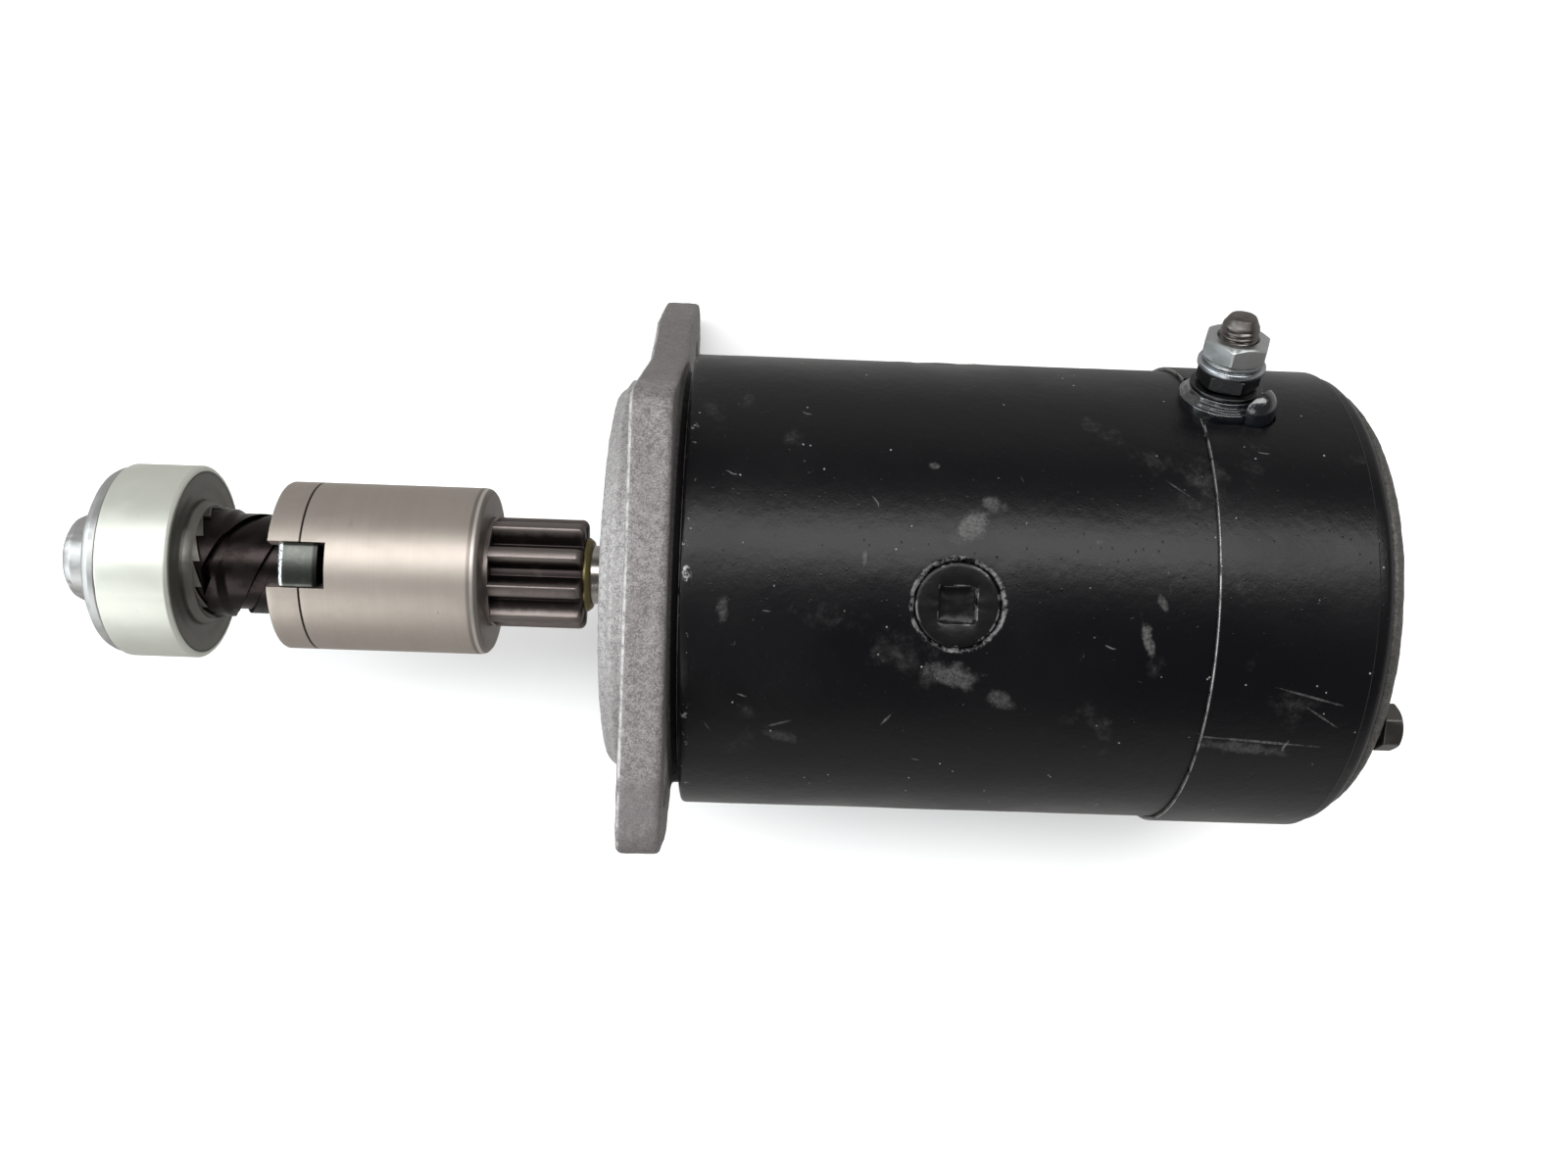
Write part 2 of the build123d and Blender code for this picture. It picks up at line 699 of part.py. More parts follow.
def buffer_cushion():
    """Rubber ring that softens the blow as the pinion meets the flywheel."""
    return tube(-117.0, -107.2, 11.8, 20.2)


def end_cap():
    """Domed nut that closes the cup and locks the drive on the shaft."""
    return turned(
        (-117.3, SHAFT_R + 0.02),
        (-117.3, 20.3),
        (-118.75, 20.3),
        (-118.75, 21.8),
        (-120.6, 21.6),
        (-121.6, 20.9),
        (-122.3, 19.6),
        (-124.6, 12.6),
        (-125.3, 11.2),
        (-126.2, 10.5),
        (-129.6, 10.3),
        (-131.2, 9.5),
        (-132.1, 8.2),
        (CAP_TIP_X, 6.4),
        (CAP_TIP_X, 0),
        (CAP_BORE_X, 0),
        (CAP_BORE_X, SHAFT_R + 0.02),
    )


def drive_key():
    """Half-round key that locks the screw sleeve to the shaft."""
    return Pos(-110.0, 0, SHAFT_R) * Box(7.0, 2.4, 3.0)


# ---- assembly ----
def node_list():
    """Every sub-part by node name."""
    poles = pole_angles()
    key = drive_key()
    nodes = {
        "drive_end_bracket": drive_end_bracket(),
        "drive_end_bush": drive_end_bush(),
        "yoke": yoke(),
        "pole_screws": Compound(children=[pole_screw(a) for a in poles]),
        "cover_band": cover_band(),
        "band_clamp_screw": band_clamp_screw(),
        "band_clamp_nut": band_clamp_nut(),
        "terminal_stud": terminal_stud(),
        "terminal_insulator": terminal_insulator(),
        "terminal_grommet": terminal_grommet(),
        "terminal_base_washer": terminal_base_washer(),
        "terminal_base_nut": terminal_base_nut(),
        "terminal_flat_washer": terminal_flat_washer(),
        "terminal_spring_washer": terminal_spring_washer(),
        "terminal_nut": terminal_nut(),
        "commutator_end_bracket": commutator_end_bracket(),
        "commutator_end_bush": commutator_end_bush(),
        "through_bolts": Compound(
            children=[through_bolt(BOLT_ANGLE), through_bolt(BOLT_ANGLE + 180)]
        ),
        "armature_shaft": armature_shaft() - key,
        "armature_core": armature_core(),
        "armature_windings": armature_windings(),
        "commutator": commutator(),
        "drive_end_thrust_washer": thrust_washer(12.3, 14.1, SHAFT_R, 14.0),
        "commutator_end_thrust_washer": thrust_washer(146.3, 148.2, TAIL_R, 11.0),
        "screw_sleeve": screw_sleeve() - key,
        "drive_key": key,
        "ratchet_collar": ratchet_collar(),
        "drive_cup": drive_cup(),
        "buffer_cushion": buffer_cushion(),
        "end_cap": end_cap(),
        "spring_sleeve": spring_sleeve(),
        "restraining_spring": restraining_spring(),
        "pinion": pinion(),
        "pinion_bush": pinion_bush(),
        "barrel": barrel(),
        "barrel_ring": barrel_ring(),
        "control_nut": control_nut(),
    }
    for number, angle in enumerate(poles, start=1):
        nodes[f"pole_shoe_{number}"] = pole_shoe(angle)
        nodes[f"field_coil_{number}"] = field_coil(angle)
        nodes[f"brush_holder_{number}"] = brush_holder(angle)
        nodes[f"brush_{number}"] = brush(angle)
        nodes[f"brush_spring_{number}"] = brush_spring(angle)
    return nodes


for name, shape in node_list().items():
    export_step(shape, f"parts/{name}.step")
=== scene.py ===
import json
import math

import bmesh
import bpy
from mathutils import Matrix, Vector, noise

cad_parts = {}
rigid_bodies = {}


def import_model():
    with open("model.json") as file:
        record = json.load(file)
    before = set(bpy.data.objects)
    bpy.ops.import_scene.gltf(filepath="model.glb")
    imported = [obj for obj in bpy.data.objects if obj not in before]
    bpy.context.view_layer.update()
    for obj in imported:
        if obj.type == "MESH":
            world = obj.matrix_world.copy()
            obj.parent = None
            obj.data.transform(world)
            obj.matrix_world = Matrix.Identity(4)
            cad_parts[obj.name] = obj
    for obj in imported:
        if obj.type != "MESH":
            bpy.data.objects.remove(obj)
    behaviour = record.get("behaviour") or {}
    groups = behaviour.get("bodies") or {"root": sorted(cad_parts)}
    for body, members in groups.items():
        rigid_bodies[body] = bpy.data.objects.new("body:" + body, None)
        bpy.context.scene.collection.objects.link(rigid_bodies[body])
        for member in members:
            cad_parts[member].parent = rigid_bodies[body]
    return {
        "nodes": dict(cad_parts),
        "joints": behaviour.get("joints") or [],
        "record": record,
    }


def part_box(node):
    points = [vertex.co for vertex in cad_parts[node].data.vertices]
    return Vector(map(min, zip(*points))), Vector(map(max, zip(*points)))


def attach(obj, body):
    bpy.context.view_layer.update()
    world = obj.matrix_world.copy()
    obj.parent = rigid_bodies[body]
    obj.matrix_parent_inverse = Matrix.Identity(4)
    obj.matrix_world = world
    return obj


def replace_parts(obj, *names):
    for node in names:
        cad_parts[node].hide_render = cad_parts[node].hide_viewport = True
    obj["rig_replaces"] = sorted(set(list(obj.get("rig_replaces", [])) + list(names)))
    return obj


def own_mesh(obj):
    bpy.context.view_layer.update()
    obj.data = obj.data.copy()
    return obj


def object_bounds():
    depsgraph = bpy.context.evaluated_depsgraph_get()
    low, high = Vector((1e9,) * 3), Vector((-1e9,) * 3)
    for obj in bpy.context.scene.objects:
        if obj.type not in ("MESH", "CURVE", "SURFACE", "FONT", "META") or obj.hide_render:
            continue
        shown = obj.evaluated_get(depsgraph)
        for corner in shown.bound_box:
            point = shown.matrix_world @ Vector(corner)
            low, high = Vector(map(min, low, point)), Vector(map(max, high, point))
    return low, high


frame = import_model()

MM = 0.001
TURN = 2 * math.pi
cad_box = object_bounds()
scene = bpy.context.scene
nodes = frame["nodes"]
record = frame["record"]
slot_of = {s["node"]: s["material_slot"] for s in record["subparts"]}
body_of = {n: b for b, members in record["behaviour"]["bodies"].items() for n in members}


# ---------------------------------------------------------------- places read from the frame
def span(node):
    """Where a CAD node starts and ends along the shaft, in mm."""
    low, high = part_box(node)
    return low.x / MM, high.x / MM


def outer(node):
    """Largest radius of a round CAD node on the shaft, in mm."""
    low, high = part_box(node)
    return max(high.y, high.z, -low.y, -low.z) / MM


def angle_about_shaft(direction):
    return math.degrees(math.atan2(direction[2], direction[1]))


# The pole screws are in line with the brushes.
POLE_ANGLES = [angle_about_shaft(j["axis"]) for j in frame["joints"] if j["name"].startswith("brush_")]
POLE_SCREW_X = sum(span("pole_screws")) / 2
POLE_HEAD_R = (span("pole_screws")[1] - span("pole_screws")[0]) / 2
POLE_HOLE_R = POLE_HEAD_R + 0.45
YOKE_X = span("yoke")
YOKE_R = outer("yoke")
BAND_X = span("cover_band")
BARREL_START = -74.85  # where the ring on its end stops, beside the seam
TERMINAL = next(m for m in record["mounts"] if m["name"] == "main_terminal")
LEAD = TURN / record["behaviour"]["couplings"][0]["ratio"] / MM


# ---------------------------------------------------------------- mesh helpers (all in mm until linked)
def link_piece(name, mesh, node, material=None):
    """Shows a mesh in place of a CAD node."""
    mesh.materials.clear()
    mesh.materials.append(MATERIALS[material or slot_of[node]])
    for polygon in mesh.polygons:
        polygon.use_smooth = True
    piece = bpy.data.objects.new(name, mesh)
    scene.collection.objects.link(piece)
    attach(piece, body_of[node])
    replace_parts(piece, node)
    return piece


def add_object(name, bm, node, material=None, smooth_angle=32):
    """Turns a bmesh in mm into the piece that is seen in place of a CAD node."""
    bmesh.ops.recalc_face_normals(bm, faces=bm.faces)
    mesh = bpy.data.meshes.new(name)
    bmesh.ops.scale(bm, vec=(MM, MM, MM), verts=bm.verts)
    bm.to_mesh(mesh)
    bm.free()
    piece = link_piece(name, mesh, node, material)
    mesh.set_sharp_from_angle(angle=math.radians(smooth_angle))
    return piece


def around(radius, angle):
    """Both coordinates of a point on a circle."""
    return radius * math.cos(angle), radius * math.sin(angle)


def circle(radius, height, count):
    """Points round local +Z."""
    return [(*around(radius, TURN * k / count), height) for k in range(count)]


def share_of(value, low, high):
    """How far value has come from low to high, from 0 to 1."""
    return max(0.0, min(1.0, (value - low) / (high - low)))


def smooth(t):
    return t * t * (3 - 2 * t)


def add_verts(bm, points, matrix=None):
    return [bm.verts.new(matrix @ Vector(p) if matrix else p) for p in points]


def loft(bm, rings, ends=False):
    """Joins each ring of points to the next one, and fills the two ends."""
    for a, b in zip(rings, rings[1:]):
        for i in range(len(a)):
            j = (i + 1) % len(a)
            bm.faces.new((a[i], a[j], b[j], b[i]))
    if ends:
        bm.faces.new(rings[0])
        bm.faces.new(rings[-1])


def ring_like(bm, x, radius, ring):
    """A round ring with its points at the same angles about the shaft as another ring's."""
    return add_verts(bm, [(x, *around(radius, math.atan2(v.co.z, v.co.y))) for v in ring])


def fillet_points(points, closed, steps=4):
    """Corners of an outline, each (a, b) or (a, b, radius), with the radii drawn as arcs."""
    out = []
    count = len(points)
    for i, point in enumerate(points):
        radius = point[2] if len(point) > 2 else 0.0
        here = Vector(point[:2])
        if radius <= 0 or (not closed and i in (0, count - 1)):
            out.append(here)
            continue
        before = Vector(points[i - 1][:2]) - here
        after = Vector(points[(i + 1) % count][:2]) - here
        half = before.angle(after) / 2
        back = min(radius / math.tan(half), before.length * 0.49, after.length * 0.49)
        before.normalize()
        after.normalize()
        centre = here + (before + after).normalized() * (back / math.cos(half))
        first = here + before * back - centre
        last = here + after * back - centre
        sweep = math.copysign(math.pi - 2 * half, first.x * last.y - first.y * last.x)
        for k in range(steps + 1):
            cos, sin = around(1, sweep * k / steps)
            out.append(centre + Vector((first.x * cos - first.y * sin, first.x * sin + first.y * cos)))
    return out


def lathe_into(bm, profile, segments=96, closed=True, wobble=None):
    """Surface of revolution about the shaft from (x, radius[, corner radius]) points."""
    rings = []
    for x, radius in fillet_points(profile, closed):
        if radius < 1e-6:
            rings.append([bm.verts.new((x, 0, 0))])
            continue
        angles = [TURN * k / segments for k in range(segments)]
        radii = [radius + (wobble(x, radius, a) if wobble else 0.0) for a in angles]
        rings.append(add_verts(bm, [(x, *around(r, a)) for r, a in zip(radii, angles)]))
    pairs = list(zip(rings, rings[1:]))
    if closed:
        pairs.append((rings[-1], rings[0]))
    for a, b in pairs:
        if len(a) == len(b) > 1:
            loft(bm, (a, b))
        elif len(a) != len(b):
            tip, ring = (a[0], b) if len(a) == 1 else (b[0], a)
            for k in range(segments):
                bm.faces.new((tip, ring[k], ring[(k + 1) % segments]))


def lathe(name, profile, node, material=None, smooth_angle=32, **options):
    bm = bmesh.new()
    lathe_into(bm, profile, **options)
    add_object(name, bm, node, material, smooth_angle)


def radial_matrix(x, angle):
    """Takes +Z at the origin to the outward direction at x and angle about the shaft (mm)."""
    return Matrix.Translation((x, 0, 0)) @ Matrix.Rotation(math.radians(angle - 90), 4, "X")


def upright_lathe(bm, profile, matrix, **options):
    """Surface of revolution about local +Z from (height, radius[, corner radius]) points."""
    before = set(bm.verts)
    lathe_into(bm, profile, **options)
    fresh = [v for v in bm.verts if v not in before]
    bmesh.ops.transform(bm, matrix=matrix @ Matrix.Rotation(math.radians(-90), 4, "Y"), verts=fresh)


# ---------------------------------------------------------------- material helpers
MATERIALS = {}


def feed(socket, source):
    """Links a signal to a socket, or sets the socket to a number or a colour."""
    if isinstance(source, Signal):
        source.tree.links.new(source.socket, socket)
    else:
        socket.default_value = (*source, 1) if isinstance(source, tuple) else source


class Signal:
    """What a node gives out. The operators and methods add the nodes for what they say."""

    def __init__(self, tree, socket):
        self.tree, self.socket = tree, socket

    def math(self, operation, other=0.0):
        node = self.tree.nodes.new("ShaderNodeMath")
        node.operation = operation
        feed(node.inputs[0], self)
        feed(node.inputs[1], other)
        return Signal(self.tree, node.outputs[0])

    def __add__(self, other):
        return self.math("ADD", other)

    def __sub__(self, other):
        return self.math("SUBTRACT", other)

    def __mul__(self, other):
        return self.math("MULTIPLY", other)

    def __truediv__(self, other):
        return self.math("DIVIDE", other)

    def either(self, other):
        return self.math("MAXIMUM", other)

    def length_with(self, other):
        return (self * self + other * other).math("SQRT")

    def ramp(self, low, high):
        """0 below low, 1 above high, smooth between."""
        node = self.tree.nodes.new("ShaderNodeMapRange")
        node.interpolation_type = "SMOOTHSTEP"
        feed(node.inputs["Value"], self)
        feed(node.inputs["From Min"], low)
        feed(node.inputs["From Max"], high)
        return Signal(self.tree, node.outputs[0])

    def near(self, place, far, close):
        """1 within close of place, 0 farther than far from it."""
        return (self - place).math("ABSOLUTE").ramp(far, close)


class Paint:
    """A node material built step by step. Coordinates are the row frame's, in mm."""

    def __init__(self, name, base, metallic=0.0, roughness=0.5):
        self.material = MATERIALS[name] = bpy.data.materials.new(name)
        self.material.use_nodes = True
        self.tree = self.material.node_tree
        self.inputs = self.tree.nodes["Principled BSDF"].inputs
        feed(self.inputs["Metallic"], metallic)
        self.colour, self.rough, self.height = base, roughness, None
        scale = self.tree.nodes.new("ShaderNodeVectorMath")
        scale.operation = "SCALE"
        feed(scale.inputs["Scale"], 1 / MM)
        coordinates = self.tree.nodes.new("ShaderNodeTexCoord")
        self.tree.links.new(coordinates.outputs["Object"], scale.inputs[0])
        self.place = Signal(self.tree, scale.outputs[0])
        parts = self.tree.nodes.new("ShaderNodeSeparateXYZ")
        feed(parts.inputs[0], self.place)
        self.x, self.y, self.z = (Signal(self.tree, part) for part in parts.outputs)

    def radius_and_angle(self):
        """Distance from the shaft and angle about it."""
        return self.y.length_with(self.z), self.z.math("ARCTAN2", self.y)

    def join(self, x, y, z):
        node = self.tree.nodes.new("ShaderNodeCombineXYZ")
        for socket, source in zip(node.inputs, (x, y, z)):
            feed(socket, source)
        return Signal(self.tree, node.outputs[0])

    def noise(self, size, detail=3.0, roughness=0.55, place=None, seed=0.0):
        """Noise with features of about size mm, from 0 to 1."""
        node = self.tree.nodes.new("ShaderNodeTexNoise")
        if seed:
            node.noise_dimensions = "4D"
            feed(node.inputs["W"], seed)
        feed(node.inputs["Scale"], 1 / size)
        feed(node.inputs["Detail"], detail)
        feed(node.inputs["Roughness"], roughness)
        feed(node.inputs["Vector"], place or self.place)
        return Signal(self.tree, node.outputs["Fac"])

    def cells(self, size, place=None):
        """Distance from the nearest of many points, which are about size mm apart."""
        node = self.tree.nodes.new("ShaderNodeTexVoronoi")
        feed(node.inputs["Scale"], 1 / size)
        feed(node.inputs["Vector"], place or self.place)
        return Signal(self.tree, node.outputs["Distance"])

    def blend(self, mask, a, b, kind="FLOAT"):
        """a where mask is 0 and b where it is 1."""
        node = self.tree.nodes.new("ShaderNodeMix")
        node.data_type = kind
        first = 6 if kind == "RGBA" else 2
        feed(node.inputs["Factor"], mask)
        feed(node.inputs[first], a)
        feed(node.inputs[first + 1], b)
        return Signal(self.tree, node.outputs[2 if kind == "RGBA" else 0])

    def tint(self, mask, colour):
        """Lays a colour over the surface where mask is 1."""
        self.colour = self.blend(mask, self.colour, colour, "RGBA")

    def shift_rough(self, mask, value):
        self.rough = self.blend(mask, self.rough, value)

    def raise_by(self, *layers):
        """Adds each source times its depth in mm to the bump height."""
        for source, depth in layers:
            part = source * depth
            self.height = part if self.height is None else self.height + part

    def done(self, metallic=None):
        feed(self.inputs["Base Color"], self.colour)
        feed(self.inputs["Roughness"], self.rough)
        if metallic is not None:
            feed(self.inputs["Metallic"], metallic)
        bump = self.tree.nodes.new("ShaderNodeBump")
        feed(bump.inputs["Distance"], MM)
        feed(bump.inputs["Strength"], 1.0)
        feed(bump.inputs["Height"], self.height)
        self.tree.links.new(bump.outputs[0], self.inputs["Normal"])


def shaded(colour, factor):
    return tuple(min(1.0, c * factor) for c in colour)


# ---------------------------------------------------------------- materials
# Scuffs in the paint: place along the shaft and round it, half length, half width, tilt, strength.
SCUFFS = (
    (69.0, 77.0, 4.6, 2.4, -38, 1.0),
    (73.5, 71.0, 2.6, 1.6, 10, 0.6),
    (66.5, 110.0, 6.0, 2.8, 8, 0.75),
    (77.0, 116.0, 3.2, 2.0, 30, 0.5),
    (105.5, 100.0, 1.1, 4.2, -18, 0.9),
    (108.0, 92.0, 0.8, 2.2, -30, 0.6),
    (128.0, 126.0, 9.0, 1.5, 6, 0.45),
    (131.0, 124.0, 13.0, 0.32, 4, 0.9),
    (140.0, 112.0, 7.0, 0.30, 14, 0.8),
    (143.0, 117.0, 6.0, 0.22, 32, 0.7),
    (32.0, 124.0, 2.6, 0.30, -20, 0.8),
    (54.0, 122.0, 1.8, 0.24, -55, 0.9),
    (112.0, 66.0, 3.4, 0.20, 38, 0.6),
    (33.0, 128.0, 4.0, 1.6, 20, 0.3),
    (48.0, 84.0, 0.5, 1.4, 5, 0.7),
    (95.0, 79.0, 0.8, 0.5, 0, 0.6),
    (20.0, 97.0, 1.2, 3.0, 0, 0.5),
    (62.0, 62.0, 1.2, 0.8, 0, 0.7),
    (40.0, 20.0, 6.0, 2.6, -20, 0.5),
    (90.0, 178.0, 8.0, 2.2, 12, 0.6),
    (50.0, 205.0, 3.0, 5.0, 25, 0.6),
    (110.0, -35.0, 7.0, 2.0, 35, 0.6),
    (30.0, -80.0, 4.0, 4.0, 0, 0.5),
)


def from_pole_screw(p):
    """Places along the shaft and round it from the nearest pole screw's middle, and the distance."""
    # The half puts a screw in the middle of each quarter, and the 8 keeps the sum above 0.
    lap = (p.radius_and_angle()[1] - math.radians(POLE_ANGLES[0])) / (TURN / 4) + 8.5
    u, v = p.x - POLE_SCREW_X, (lap.math("FRACT") - 0.5) * (TURN / 4 * YOKE_R)
    return u, v, u.length_with(v)


def black_paint():
    """Satin black paint with orange peel, dust, scuffs, nicks and bare metal at worn edges."""
    p = Paint("black_paint", (0.0016, 0.0014, 0.0020))
    angle = p.radius_and_angle()[1]
    ragged = p.noise(2.6, 4, 0.7, seed=4.5)
    scuffed = p.noise(21, 5, 0.66, seed=1.5).ramp(0.58, 0.74) * 0.45
    for place_x, place_angle, long, wide, tilt, strength in SCUFFS:
        u = p.x - place_x
        v = (angle - math.radians(place_angle)) * YOKE_R
        cos, sin = around(1, math.radians(tilt))
        reach = ((u * cos + v * sin) / long).length_with((v * cos - u * sin) / wide)
        reach = reach + (ragged - 0.5) * 2.2
        scuffed = scuffed.either(reach.ramp(1.15, 0.45) * strength)
    grain = p.noise(0.7, 5, 0.8, seed=2.5).ramp(0.38, 0.62)
    scuffed = scuffed * p.blend(0.72, 1.0, grain)
    p.tint(scuffed * 0.36, (0.20, 0.195, 0.19))
    p.rough = p.blend(p.noise(30, 3, 0.5, seed=6.5).ramp(0.4, 0.7), 0.30, 0.40)
    p.shift_rough(scuffed * 0.7, 0.7)
    dust = p.cells(3.6).ramp(0.075, 0.04) * p.noise(11, 2, seed=3.0).ramp(0.46, 0.58)
    p.tint(dust * 0.8, (0.24, 0.24, 0.25))
    nibs = p.cells(2.2, p.join(p.x, p.y, p.z * 1.03)).ramp(0.14, 0.04)
    front, seam = (
        p.x.near(edge + 0.1, 0.13, 0.05) * p.noise(3.5, 4, 0.75, seed=edge).ramp(0.36, 0.56)
        for edge in (YOKE_X[0], BAND_X[0])
    )
    bare = front.either(seam) * 0.75
    p.tint(bare, (0.34, 0.33, 0.32))
    chips = p.x.near(YOKE_X[0], 3.2, 0.4) * p.noise(2.3, 4, 0.75, seed=14.0).ramp(0.60, 0.66)
    p.tint(chips, (0.36, 0.35, 0.34))
    metal = chips.either(bare)
    arc = angle * YOKE_R
    nicked = None
    for turn, size, seed in ((12, 5.2, 31.0), (-34, 6.1, 32.0), (68, 5.6, 33.0), (-80, 7.3, 34.0)):
        cos, sin = around(1, math.radians(turn))
        u = p.x * cos + arc * sin
        bent = arc * cos - p.x * sin + p.noise(4.0, 2, 0.5, seed=seed) * 2.4
        nick = p.cells(size, p.join(u * 0.16, bent, seed)).ramp(0.045, 0.02)
        nick = nick * p.noise(13, 3, 0.6, seed=seed + 5).ramp(0.42, 0.52)
        nicked = nicked.either(nick) if nicked else nick
    p.tint(nicked * 0.5, (0.13, 0.127, 0.125))
    reach = from_pole_screw(p)[2] - (POLE_HEAD_R + 0.75) + p.noise(2.4, 3, 0.7, seed=16.0) * 1.6
    burr = reach.near(0.8, 0.62, 0.3) * p.noise(3.4, 4, 0.75, seed=17.0).ramp(0.44, 0.6)
    p.tint(burr * 0.7, (0.17, 0.168, 0.17))
    p.raise_by((nicked, 0.07), (burr, 0.10), (metal, -0.05), (dust, 0.06), (nibs, 0.035))
    p.raise_by((p.noise(1.9, 2, 0.45, seed=10.0), 0.060), (p.noise(0.55, 2, 0.5, seed=11.0), 0.020))
    p.raise_by((p.noise(16, 2, 0.5, seed=12.0), 0.20))
    p.raise_by((p.noise(3.0, 3, 0.6, seed=13.0).ramp(0.70, 0.78), -0.12))
    feed(p.inputs["Specular IOR Level"], 0.26)
    p.done(metal)


def cast_alloy(name, base, dirt, depth, front=None, back=None):
    """Sand-cast aluminium: grainy skin with lighter grain tops that are partly a painted highlight, small pits,
    greyer hollows.
    A bracket with a front also has a worn front edge there that is partly a painted highlight, a turned face
    before it and a painted shade on its ears, and it is near black from back on."""
    p = Paint(name, base, metallic=0.65)
    coarse = p.noise(1.3, 3, 0.65, seed=21.0)
    grain = p.noise(0.36, 4, 0.8) * 0.7 + coarse * 0.3
    pits = p.noise(2.3, 4, 0.7, seed=2.0).ramp(0.35, 0.25)
    p.tint(grain.ramp(0.54, 0.44) * 0.8, dirt)
    p.tint(p.noise(15, 4, 0.62, seed=7.0).ramp(0.45, 0.75) * 0.45, dirt)
    # Lighter grain tops: grain tone and a painted highlight.
    p.tint(grain.ramp(0.56, 0.70) * 0.6, shaded(base, 2.2))
    p.tint(pits * 0.6, shaded(dirt, 0.5))
    p.rough = p.blend(grain.ramp(0.35, 0.65), 0.62, 0.40)
    p.raise_by((grain, depth), (pits, -depth * 0.7), (p.noise(5, 3, 0.6, seed=4.0), depth * 0.8))
    if front is not None:
        # Painted shade: the ears are darkened where shadow falls on them.
        ears = (p.y.math("ABSOLUTE") + coarse * 2.0).ramp(40.5, 43.0)
        p.tint(ears * 0.55, shaded(base, 0.55))
        # The front edge is worn bright, and partly a painted highlight on its rounding.
        edge = p.x.near(front, 0.5, 0.15) * p.noise(2.6, 4, 0.75, seed=9.0).ramp(0.34, 0.6)
        p.tint(edge * 0.75, (0.66, 0.64, 0.63))
        p.shift_rough(edge, 0.34)
        sandy = p.blend(grain.ramp(0.38, 0.62), 0.2, 0.95)
        p.tint(p.x.ramp(front - 0.3, front - 0.7) * sandy, (0.46, 0.45, 0.445))
        p.tint(p.x.ramp(back, back + 0.5), (0.012, 0.012, 0.013))
    p.done()


def turned_metal(name, base, dark, roughness=0.3, ring=0.16, depth=0.012, tone=0.35, seam=None):
    """Lathe-turned metal: fine rings round the shaft, faint stains and small knocks.
    The barrel's has a seam, and at its right end a painted shade over the shoulder and a painted highlight line on
    its rounding."""
    p = Paint(name, base, metallic=1.0)
    distance, angle = p.radius_and_angle()
    rings = p.noise(ring, 3, 0.6, p.join(p.x, distance, angle * 0.25))
    broad = p.noise(ring * 9, 3, 0.55, p.join(p.x, distance, angle * 0.6), seed=2.0)
    stain = p.noise(7, 4, 0.62, seed=5.0).ramp(0.46, 0.74)
    p.tint(broad.ramp(0.35, 0.75) * tone, dark)
    p.tint(stain * 0.25, dark)
    p.rough = p.blend(rings, roughness - 0.08, roughness + 0.12)
    p.shift_rough(stain * 0.5, roughness + 0.2)
    if seam is not None:
        end = span("barrel")[1]
        p.tint(p.x.near(seam, 0.34, 0.2) * 0.85, (0.045, 0.035, 0.028))
        # Painted shade over the barrel's right shoulder and end face.
        p.tint(p.x.ramp(end - 2.7, end - 2.2) * 0.65, (0.17, 0.15, 0.14))
        # Painted highlight: a bright line on the shoulder's rounding.
        p.tint(p.x.near(end - 1.25, 0.5, 0.2) * 0.8, (0.72, 0.68, 0.64))
    knocks = p.noise(1.6, 3, 0.6, seed=9.0).ramp(0.3, 0.2)
    p.raise_by((rings, depth), (knocks, -0.05), (p.noise(6, 2, 0.5, seed=12.0), 0.05))
    p.done()


def plated(name, base, bloom, roughness=0.34, depth=0.03, metallic=1.0, shade=None, cloudy=0.45):
    """Zinc-plated steel: slightly cloudy, with a pale bloom and small dings.
    shade is (lowest x, largest radius, colour) of a painted shade over a face, which also gets a painted shade
    line round its edge."""
    p = Paint(name, base, metallic)
    cloud = p.noise(5.5, 5, 0.62).ramp(0.38, 0.7)
    p.tint(cloud * cloudy, bloom)
    p.tint(p.noise(2.4, 4, 0.65, seed=3.0).ramp(0.6, 0.8) * (cloudy * 0.9), shaded(base, 0.4))
    p.rough = p.blend(cloud, roughness - cloudy * 0.1, roughness + cloudy * 0.3)
    if shade is not None:
        low, reach, colour = shade
        distance, angle = p.radius_and_angle()
        # Painted shade over the face within the given radius.
        p.tint(p.x.ramp(low, low + 0.12) * distance.ramp(reach, reach - 0.3) * 0.88, colour)
        # Painted shade: a dark line in the groove round the face's edge.
        p.tint(distance.near(reach, 0.42, 0.1) * p.x.ramp(low, low + 0.1) * 0.8, (0.02, 0.02, 0.018))
        p.raise_by((p.noise(0.5, 2, 0.5, p.join(0.0, distance, angle * 0.3), seed=15.0), 0.02))
    dings = p.noise(1.3, 2, 0.5, seed=6.0).ramp(0.27, 0.18)
    p.raise_by((dings, -depth * 1.6), (p.noise(0.7, 3, 0.6, seed=8.0), depth * 0.5))
    p.done()


